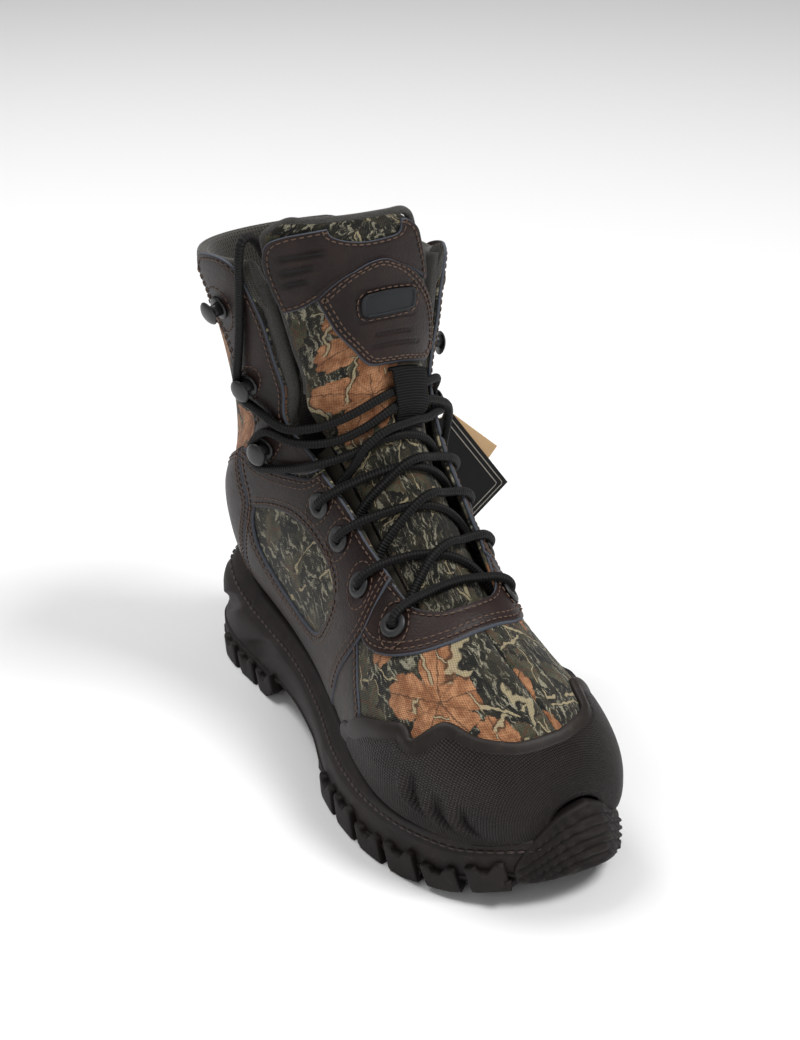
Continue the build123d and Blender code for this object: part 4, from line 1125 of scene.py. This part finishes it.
pad = sweep_loop("tongue_pad", tongue_pad(), "camo_tongue", body=None, nodes=["tongue_lower", "tongue_upper"])
section(11.9, 0, 0)[0].tolist()
section(12.45, 0, 0)[0].tolist()
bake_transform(pad)

half_at = np.arange(12.5, 17.56, 0.1)
left = tongue_surface(half_at, -TONGUE[-1](half_at) - 0.2, -3.6)
right = tongue_surface(half_at[::-1], TONGUE[1](half_at[::-1]) + 0.2, -3.6)
crest = tongue_surface(np.full(9, 17.72), np.linspace(-36, 11, 9), -3.2)
binding = resample(spline(np.vstack([left[::4], crest, right[::4]]), count=6), 0.0015)
tube("tongue_binding", binding, 0.0019, "lining", "tongue_top", [], around=14)

tongue_runs = []
frame_outline = [
    [(15.1, -50), (15.9, -51), (16.6, -50), (17.1, -46), (17.35, -38), (17.5, -27), (17.55, -22)],
    [(17.55, -22), (17.3, -21), (17.1, -16), (16.98, -8), (17.0, 2), (17.1, 8), (17.55, 9)],
    [(17.55, 9), (17.45, 13), (17.1, 18), (16.6, 21), (15.8, 25.5), (15.25, 28)],
    [(15.25, 28), (15.7, 16), (16.15, 5), (16.25, -3), (16.15, -10), (15.65, -22), (15.3, -31)],
    [(15.3, -31), (15.12, -40), (15.1, -50)],
]


def stripes(at, angle, d):
    """Three pressed bars on the lateral half of the tongue leather."""
    lift = np.zeros_like(at)
    for station, first, last in ((16.72, -44, -24), (16.3, -45, -29), (15.88, -46, -33)):
        inside_bar = np.exp(-(((at - station - (angle + 36) * 0.006) / 0.1) ** 4)) * np.clip((angle - first) / 2, 0, 1) * np.clip((last - angle) / 2, 0, 1)
        lift = lift - 1.1 * inside_bar
    return lift


def groove_of(shape, depth):
    """How far a pressed shape goes in, from 0 to 1, for painted shade in its hollow."""
    return lambda at, angle, d: np.clip(-shape(at, angle, d) / depth, 0, 1)


panel("tongue_leather", tongue_surface, frame_outline, 0.1, 1.5, "leather", body="tongue_top", nodes=["tongue_leather"],
      edge=0.8, grid=1.6, spacing=1.5, raw="raw_edge", rings=(1.7, 2.4, 3.2), seam=(2.4,), bump=stripes,
      extra={"groove_shade": groove_of(stripes, 1.1)})
for part in (0, 1, 2, 4):
    sew(tongue_surface, frame_outline, part, (2.1,), 1.55, runs=tongue_runs)

shield_outline = [
    [(15.25, -33), (15.65, -23), (16.05, -13), (16.27, -5), (16.25, 3), (15.8, 14), (15.25, 24), (14.75, 31)],
    [(14.75, 31), (14.2, 36), (13.5, 40), (12.95, 42)],
    [(12.95, 42), (12.5, 38), (12.28, 28), (12.25, 12), (12.27, 0), (12.35, -10), (12.7, -16), (13.4, -22)],
    [(13.4, -22), (14.0, -26.5), (14.6, -30), (15.25, -33)],
]


def shield_emboss(at, angle, d):
    """Two outlined bars under the badge, and its seat."""
    lift = 0.0 * at
    for station, first, last in ((13.5, -6, 17), (13.02, -9, 23)):
        x = (np.abs(angle - (first + last) / 2) - (last - first) / 2) * 0.95
        y = (np.abs(at - station) - 0.06) * 22.0
        outside = np.hypot(np.maximum(x, 0), np.maximum(y, 0)) + np.minimum(np.maximum(x, y), 0)
        lift = lift - 0.65 * np.exp(-((outside / 0.75) ** 2))
    x = (np.abs(angle - 3) - 15.5) * 0.95
    y = (np.abs(at - 14.66) - 0.5) * 22.0
    seat = np.hypot(np.maximum(x, 0), np.maximum(y, 0)) + np.minimum(np.maximum(x, y), 0)
    return lift - 0.6 * np.exp(-(((seat - 1.6) / 0.8) ** 2))


panel("tongue_shield", tongue_surface, shield_outline, 0.15, lambda at, angle: 2.1 + 0.5 * np.exp(-(((angle - 4) / 26) ** 2)), "leather",
      body="tongue_top", nodes=["tongue_shield"], edge=1.1, grid=1.2, spacing=1.4, raw="raw_edge",
      rings=(1.7, 2.4, 3.2, 4.2), seam=(2.4,), bump=shield_emboss,
      extra={"groove_shade": groove_of(shield_emboss, 0.9)})
for part in range(4):
    sew(tongue_surface, shield_outline, part, (2.2, 4.4), 2.6, runs=tongue_runs)

badge_outline = [[(15.1, -9.5), (15.13, 3), (15.08, 15.5)], [(15.08, 15.5), (14.98, 18.5), (14.66, 19.5), (14.36, 18.8), (14.25, 16)],
                 [(14.25, 16), (14.2, 3), (14.22, -9.5)], [(14.22, -9.5), (14.34, -12), (14.66, -12.8), (14.98, -12), (15.1, -9.5)]]


def badge_face(at, angle, d):
    """A raised rim round a plain field."""
    return -0.7 * np.clip((d - 1.3) / 0.5, 0, 1)


panel("tongue_badge", tongue_surface, badge_outline, 2.0, 4.1, "badge", body="tongue_top", nodes=["tongue_badge"],
      edge=0.5, grid=1.0, spacing=1.0, rings=(1.0, 1.3, 1.5, 1.8), bump=badge_face)
for part in range(4):
    sew(tongue_surface, badge_outline, part, (1.7,), 2.75, runs=tongue_runs, outside=True)
stitch_mesh("tongue_thread", tongue_runs, "thread", "tongue_top")


# lace keeper: a band of webbing sewn down at both ends
def strap_band(path, low, high, thickness):
    """A band whose side view is a path of (station, height over the tongue), between two angles."""
    line = resample(spline(path) * np.array([22.0, 1.0]), 0.9) / np.array([22.0, 1.0])
    d = np.gradient(line * np.array([22.0, 1.0]), axis=0)
    n = np.stack([-d[:, 1], d[:, 0]], 1) / np.linalg.norm(d, axis=1)[:, None]
    top = line + n * (thickness / 2) / np.array([22.0, 1.0])
    base = line - n * (thickness / 2) / np.array([22.0, 1.0])
    loop = np.vstack([top, base[::-1]])
    rows = []
    for share in np.linspace(0, 1, 24):
        angle = low + (high - low) * share
        rows.append(section(loop[:, 0], np.full(len(loop), angle), TONGUE_FACE(loop[:, 0]) + loop[:, 1]))
    return np.array(rows)


sweep_loop("lace_keeper", strap_band([(9.75, 0.7), (10.0, 0.8), (10.16, 2.6), (10.3, 5.2), (10.6, 5.9), (11.1, 6.0), (11.6, 5.9), (11.86, 5.2),
                                      (11.95, 2.6), (12.0, 0.8), (12.12, 0.7)], 1, 27, 1.1), "webbing", nodes=["lace_keeper"])

# ------------------------------------------------------------------ eyelets and hooks
EYELET = [(2.75, 0.5), (2.95, 1.0), (3.5, 1.35), (4.6, 1.4), (5.7, 1.15), (6.3, 0.7), (6.5, 0.2), (6.4, 0.0), (4.6, -0.02),
          (3.35, -0.1), (3.3, -2.4), (2.9, -2.5), (2.75, -1.8)]
HOOK = [(0.0, 8.5), (0.25, 8.45), (0.5, 8.2), (0.72, 7.7), (0.88, 7.05), (0.96, 6.45), (0.955, 6.2), (0.9, 6.1), (0.36, 6.05),
        (0.33, 5.0), (0.33, 2.4), (0.36, 1.7), (0.76, 1.5), (0.88, 1.25), (0.94, 0.7), (0.95, 0.25), (0.9, 0.0), (0.5, 0.0), (0.0, 0.0)]
for side, name in SIDES.items():
    places = [place_on(at, side * angle, OVER + 0.35) for at, angle in EYELETS[side]]
    turned(f"eyelets_{name}", EYELET, places, "eyelet", "boot", [f"eyelets_{name}"])
    places = [place_on(at, side * angle, 2.1) for at, angle in HOOKS[side]]
    body = [(max(r, 0.004) * 1.0, h) for r, h in HOOK]
    webs = [(p[0] - p[1] * 0.0028, *p[1:]) for p in places]
    turned(f"hook_webs_{name}", [(0.02, 6.4), (3.0, 6.4), (3.2, 3.8), (3.5, 1.0), (0.02, 1.0)], webs, "gunmetal", "boot", [], closed=False)
    turned(f"speed_hooks_{name}", body, places, "gunmetal", "boot", [f"speed_hooks_{name}"], stretch=(7.4, 6.2), closed=False)
    for at, angle in EYELETS[side]:
        turn = np.linspace(0, 2 * np.pi, 40)
        thread_runs.append(section(at + 8.6 / FACE[0] * np.cos(turn), side * angle + 8.6 / FACE[1] * np.sin(turn), OVER + 0.2))
    for at, angle in HOOKS[side]:
        turn = np.linspace(0, 2 * np.pi, 40)
        thread_runs.append(section(at + 9.6 / FACE[0] * np.cos(turn), side * angle + 11.0 / FACE[1] * np.sin(turn), 2.3))
stitch_mesh("upper_thread", thread_runs, "thread", "boot")

# ------------------------------------------------------------------ sole
count = len(RIM)
ts = np.arange(0, count, 2.0)
plan, _ = rim_at(ts)
ys = plan[:, 1]


near_at = np.arange(0.0, 13.0, 0.06)
near_angle = np.arange(55.0, 305.0, 1.0)
upper_points = section(np.repeat(near_at, len(near_angle)), np.tile(near_angle, len(near_at)), 0.0) * 1000 + [CENTRE[0], CENTRE[1], 0]


def meeting(place, z):
    """Where the upper stands at a height, nearest to each place on the rim."""
    out = []
    for p, h in zip(place, z):
        level = upper_points[np.abs(upper_points[:, 2] - h) < 0.8]
        out.append(level[np.argmin(((level[:, :2] - p) ** 2).sum(1))])
    return np.array(out)


def rim_profile(t, y):
    """Side of the midsole from its foot to its cup, as (height, distance out)."""
    low, high = OUTSOLE_TOP(y) - 1.0, MIDSOLE_TOP(y)
    heel = np.clip((y - 55) / 40, 0, 1)
    fore = np.clip((20 - y) / 30, 0, 1)
    rows = []
    for share in np.concatenate([[0.0], np.linspace(0.04, 0.96, 16), [1.0]]):
        z = low + (high - low) * share
        out = -1.4 + 1.1 * np.sin(share * math.pi) * 0.6
        # moulded line under the top edge
        out = out - 0.9 * np.exp(-(((share - 0.80) / 0.045) ** 2))
        # swept grooves of the heel
        wave = np.sin((y * 0.9 + (z - 30) * 1.5) / 8.0)
        out = out - heel * 3.4 * np.clip(wave * 1.8 - 0.4, 0, 1) * np.exp(-(((share - 0.42) / 0.3) ** 4))
        # shallow waves of the forefoot
        out = out - fore * 0.7 * np.clip(np.sin((y - z * 1.2) / 11.0) * 2 - 1.1, 0, 1) * np.exp(-(((share - 0.45) / 0.25) ** 4))
        rows.append((z, out))
    return rows


rows = rim_profile(ts, ys)
loops = [wall(ts, rows[0][0], -14.0)]
for z, out in rows:
    loops.append(wall(ts, z, out))
top_z = rows[-1][0]
meet = meeting(plan, top_z + 2.5)
meet = sum(np.roll(meet, k, 0) for k in range(-4, 5)) / 9
meet_kept = metres(meet)
lip = loops[-1]
for k in range(1, len(loops)):
    share = (k - 1) / (len(loops) - 2)
    lean = np.clip((share - 0.5) / 0.5, 0, 1) ** 2 * np.where(ys > 100, 0.8, 0.6)
    gap = np.clip(np.linalg.norm((meet_kept - lip)[:, :2], axis=1) - 0.0025, 0, None)
    toward = (meet_kept - lip) / np.maximum(np.linalg.norm((meet_kept - lip)[:, :2], axis=1), 1e-6)[:, None]
    shift = toward * (gap * lean)[:, None]
    shift[:, 2] = 0
    loops[k] = loops[k] + shift
lip = loops[-1]
for share, rise in ((0.12, 0.0009), (0.35, 0.0014), (0.65, 0.0018), (1.0, 0.002)):
    loop = lip + (meet_kept - lip) * share
    loop[:, 2] = lip[:, 2] + rise
    loops.append(loop)
inner = loops[-1] + (meet_kept - lip) / np.maximum(np.linalg.norm(meet_kept - lip, axis=1), 1e-6)[:, None] * 0.0015
inner[:, 2] = lip[:, 2] - 0.002
loops.append(inner)
grid = np.array(loops)
n = grid.shape[1]
verts = grid.reshape(-1, 3)
faces = [f[::-1] for f in grid_faces(grid.shape[0], n, wrap_columns=True)]
faces.append(tuple(range(n)))
faces.append(tuple((grid.shape[0] - 1) * n + j for j in range(n))[::-1])
uv = np.column_stack([np.tile(ts, grid.shape[0]), np.repeat(np.arange(grid.shape[0]), n) * 1.5]) * 0.001
build("midsole", verts, faces, "midsole", "boot", ["midsole"], uv)
thread_row = grid[15] + (grid[15] - grid[15].mean(0)) * 0.004
stitch_mesh("midsole_thread", [thread_row[9:-9]], "dark_thread", "boot", 0.0006, 0.0034, 0.0046)

# outsole: plate, rim blocks, tread blocks and toe bumper
low_z, high_z = GROUND(ys) + 4.5, OUTSOLE_TOP(ys)
loops = [wall(ts, low_z, -16.0), wall(ts, low_z, -2.2), wall(ts, low_z + 0.3, -1.4), wall(ts, (low_z + high_z) / 2, -0.6), wall(ts, high_z - 0.4, -0.5),
         wall(ts, high_z, -1.2), wall(ts, high_z, -16.0)]
grid = np.array(loops)
verts = grid.reshape(-1, 3)
faces = [f[::-1] for f in grid_faces(grid.shape[0], n, wrap_columns=True)]
faces.append(tuple(range(n)))
faces.append(tuple((grid.shape[0] - 1) * n + j for j in range(n))[::-1])
uv = np.column_stack([np.tile(ts, grid.shape[0]), np.repeat(np.arange(grid.shape[0]), n) * 2.0]) * 0.001
build("outsole", verts, faces, "outsole", "boot", ["outsole"], uv)


def height_wall(t, share, offset=0.0):
    """The rim of the sole with height counted in millimetres over the ground profile."""
    place, _ = rim_at(np.ravel(t))
    return wall(t, GROUND(place[:, 1]) + np.ravel(share), offset)


def bumper_wall(t, rise, offset=0.0):
    """The rim at the toe, leaning back onto the cap as it rises."""
    t, rise, offset = (np.ravel(v).astype(float) for v in np.broadcast_arrays(t, rise, offset))
    return height_wall(t, rise, offset - 8.5 * np.clip((rise - 9) / 24, 0, 1) ** 1.6)


def block(name, t0, t1, top, lean, notch):
    """A rim block that climbs onto the midsole, with a notch in its top."""
    w = t1 - t0
    parts = [[(t0, 0.05), (t0 + lean * 0.5, top * 0.5), (t0 + lean, top)],
             [(t0 + lean, top), (t0 + lean + w * 0.22, top + 0.3)],
             [(t0 + lean + w * 0.22, top + 0.3), (t0 + lean + w * 0.38, top - notch)],
             [(t0 + lean + w * 0.38, top - notch), (t0 + lean + w * 0.62, top - notch * 0.9)],
             [(t0 + lean + w * 0.62, top - notch * 0.9), (t0 + lean + w * 0.74, top - 0.8)],
             [(t0 + lean + w * 0.74, top - 0.8), (t1 + lean, top - 1.2)],
             [(t1 + lean, top - 1.2), (t1 + lean * 0.5, top * 0.45), (t1, 0.05)],
             [(t1, 0.05), (t0, 0.05)]]
    return panel(name, height_wall, parts, -4.5, 2.3, "outsole", scale=(1.0, 1.0), edge=0.8, grid=3.0, spacing=1.6, link=True)


side_blocks = []
total = float(count)
rim_places = [(38 + j * 22.5, 17.6, 14.5 - (j % 2) * 2.4) for j in range(6)] + [(258 + j * 21.0, 16.4, 12.5) for j in range(3)]
for k, (t0, width, top) in enumerate(rim_places):
    side_blocks.append(block(f"rim_block_lateral_{k}", t0, t0 + width, top, 4.2, 3.8))
    side_blocks.append(block(f"rim_block_medial_{k}", total - t0 - width, total - t0, top, -4.2, 3.8))

# toe bumper with ribs
bumper = [[(-36, 3.0), (-37, 12), (-30, 22), (-18, 29), (0, 32)], [(0, 32), (18, 29), (30, 22), (37, 12), (36, 3.0)],
          [(36, 3.0), (18, 1.0), (0, 0.6), (-18, 1.0), (-36, 3.0)]]


def bumper_ribs(t, z, d):
    arch = z + (t / 9.5) ** 2 * 0.8
    return 1.1 * np.clip(np.sin(arch / 4.4 * 2 * np.pi) * 2.2, -1, 1) * np.clip((d - 1.6) / 1.2, 0, 1)


side_blocks.append(panel("toe_bumper", bumper_wall, bumper, -6, 1.6, "outsole", scale=(1.0, 1.0), edge=1.4, grid=1.3, spacing=1.6,
                         bump=bumper_ribs))


def under(x, y, offset=0.0):
    """The underside of the sole: offset grows downwards from the plate to the ground."""
    x, y, offset = (np.ravel(v).astype(float) for v in np.broadcast_arrays(x, y, offset))
    return metres(np.column_stack([x, y, GROUND(y) + 4.5 - offset]))


def tread(name, corners):
    parts = [[a, b] for a, b in zip(corners, corners[1:] + corners[:1])]
    return panel(name, under, parts, -1.0, 4.5, "outsole", scale=(1.0, 1.0), edge=0.7, grid=4.0, spacing=2.5)


def half_width(y, side):
    """Distance from the middle line of the tread to its rim."""
    near = RIM[np.abs(RIM[:, 1] - y) < 2.0][:, 0]
    return (near.max() - 4 if side > 0 else 4 - near.min()) if len(near) else 20


index = 0
for y in [-140, -121, -102, -83, -64, -45, -26, -10, 84, 102, 120, 138]:
    for side in (-1, 1):
        w = half_width(y, side)
        slant = 5.0
        edge_block = [(4 + side * (w - 15), y - 5.4 + slant), (4 + side * (w - 3.0), y - 6.2), (4 + side * (w - 3.0), y + 5.4), (4 + side * (w - 15), y + 6.4 + slant)]
        side_blocks.append(tread(f"tread_edge_{index}", edge_block))
        inner = [(4 + side * 2.2, y - 1 - slant), (4 + side * (w - 19), y - 6 + slant * 0.7), (4 + side * (w - 19), y + 5.4 + slant * 0.7), (4 + side * 2.2, y + 7.2 - slant)]
        if w > 26:
            side_blocks.append(tread(f"tread_middle_{index}", inner))
        index += 1

# ------------------------------------------------------------------ hang tags
TAG_CARD = [(63.1, 153.5), (103.6, 98.9), (79.7, 80.8), (54.5, 114.8), (54.5, 147.1)]
TAG_KRAFT = [(97.2, 121.2), (85.1, 107.8), (57.5, 132.0), (57.9, 151.0), (61.5, 152.9)]


def tag_surface(front):
    def surface(x, z, offset=0.0):
        x, z, offset = (np.ravel(v).astype(float) for v in np.broadcast_arrays(x, z, offset))
        return metres(np.column_stack([x, front - offset, z]))
    return surface


def corners_to_parts(corners):
    return [[a, b] for a, b in zip(corners, corners[1:] + corners[:1])]


hole = [[(61.0 + 2.3 * math.cos(a), 147.5 + 2.3 * math.sin(a)) for a in np.linspace(0, 2 * np.pi, 13)]]
panel("hang_tag_card", tag_surface(57.2), corners_to_parts(TAG_CARD), 0.0, 1.2, "card", body="hang_tags", nodes=["hang_tag_card"],
      scale=(1, 1), edge=0.25, grid=5, spacing=2.5, holes=[hole])
panel("hang_tag_kraft", tag_surface(58.2), corners_to_parts(TAG_KRAFT), 0.0, 0.6, "kraft", body="hang_tags", nodes=["hang_tag_kraft"],
      scale=(1, 1), edge=0.15, grid=5, spacing=2.5, holes=[hole])
a, b = np.array([103.6, 98.9]), np.array([79.7, 80.8])
c, d = np.array([63.1, 153.5]), np.array([54.5, 114.8])
lines = []
for inset in (2.5, 5.2):
    along_edge = (c - a) / np.linalg.norm(c - a)
    inner = (b - a) / np.linalg.norm(b - a)
    start, stop = a + along_edge * inset + inner * inset, c - along_edge * 6 + inner * inset
    corner = b + along_edge * inset - inner * inset
    path = np.array([[p[0], 55.93, p[1]] for p in (stop, start, corner)])
    lines.append(resample(metres(path), 0.002))
for k, line in enumerate(lines):
    tube(f"tag_line_{k}", line, 0.00028, "piping", "hang_tags", [], around=6)

# ------------------------------------------------------------------ CAD pieces that stay as they are
for node, material in (("insulation", "wadding"), ("toe_puff", "stiffener"), ("heel_counter", "stiffener"), ("insole_board", "stiffener"),
                       ("shank", "steel"), ("hook_washers_lateral", "steel"), ("hook_washers_medial", "steel"),
                       ("gusset_lateral", "gusset"), ("gusset_medial", "gusset")):
    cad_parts[node].data.materials.clear()
    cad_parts[node].data.materials.append(MATERIALS[material])
bed_at = np.arange(1.4, 10.21, 0.4)
bed = shell("footbed", bed_at, lambda at: 134.0, lambda at: 226.0, -12.4, -8.2, "footbed", body="footbed", nodes=["footbed"],
            step=4.0)

# ------------------------------------------------------------------ floor and light
floor = bpy.data.objects.new("floor", bpy.data.meshes.new("floor"))
floor.data.from_pydata([(-6, -6, 0), (6, -6, 0), (6, 6, 0), (-6, 6, 0)], [], [(0, 1, 2, 3)])
floor_shader = Shader("pale_floor")
floor.data.materials.append(floor_shader.finish((0.86, 0.86, 0.86), 0.9))
bpy.context.scene.collection.objects.link(floor)
world = bpy.data.worlds.new("studio")
bpy.context.scene.world = world
world.use_nodes = True
world.node_tree.nodes["Background"].inputs["Color"].default_value = (1, 1, 1, 1)
world.node_tree.nodes["Background"].inputs["Strength"].default_value = 0.3


def softbox(name, place, size, power):
    light = bpy.data.lights.new(name, "AREA")
    light.shape, light.size, light.energy = "SQUARE", size, power
    made = bpy.data.objects.new(name, light)
    bpy.context.scene.collection.objects.link(made)
    made.location = place
    made.rotation_euler = (Vector((0, 0, 0.12)) - Vector(place)).to_track_quat("-Z", "Y").to_euler()


softbox("key", (0.7, -1.0, 2.0), 0.7, 36)
softbox("fill", (-1.5, -1.1, 1.1), 1.0, 5)
softbox("top", (-0.3, 0.9, 1.9), 1.0, 26)

bpy.context.scene.view_settings.view_transform = "Standard"
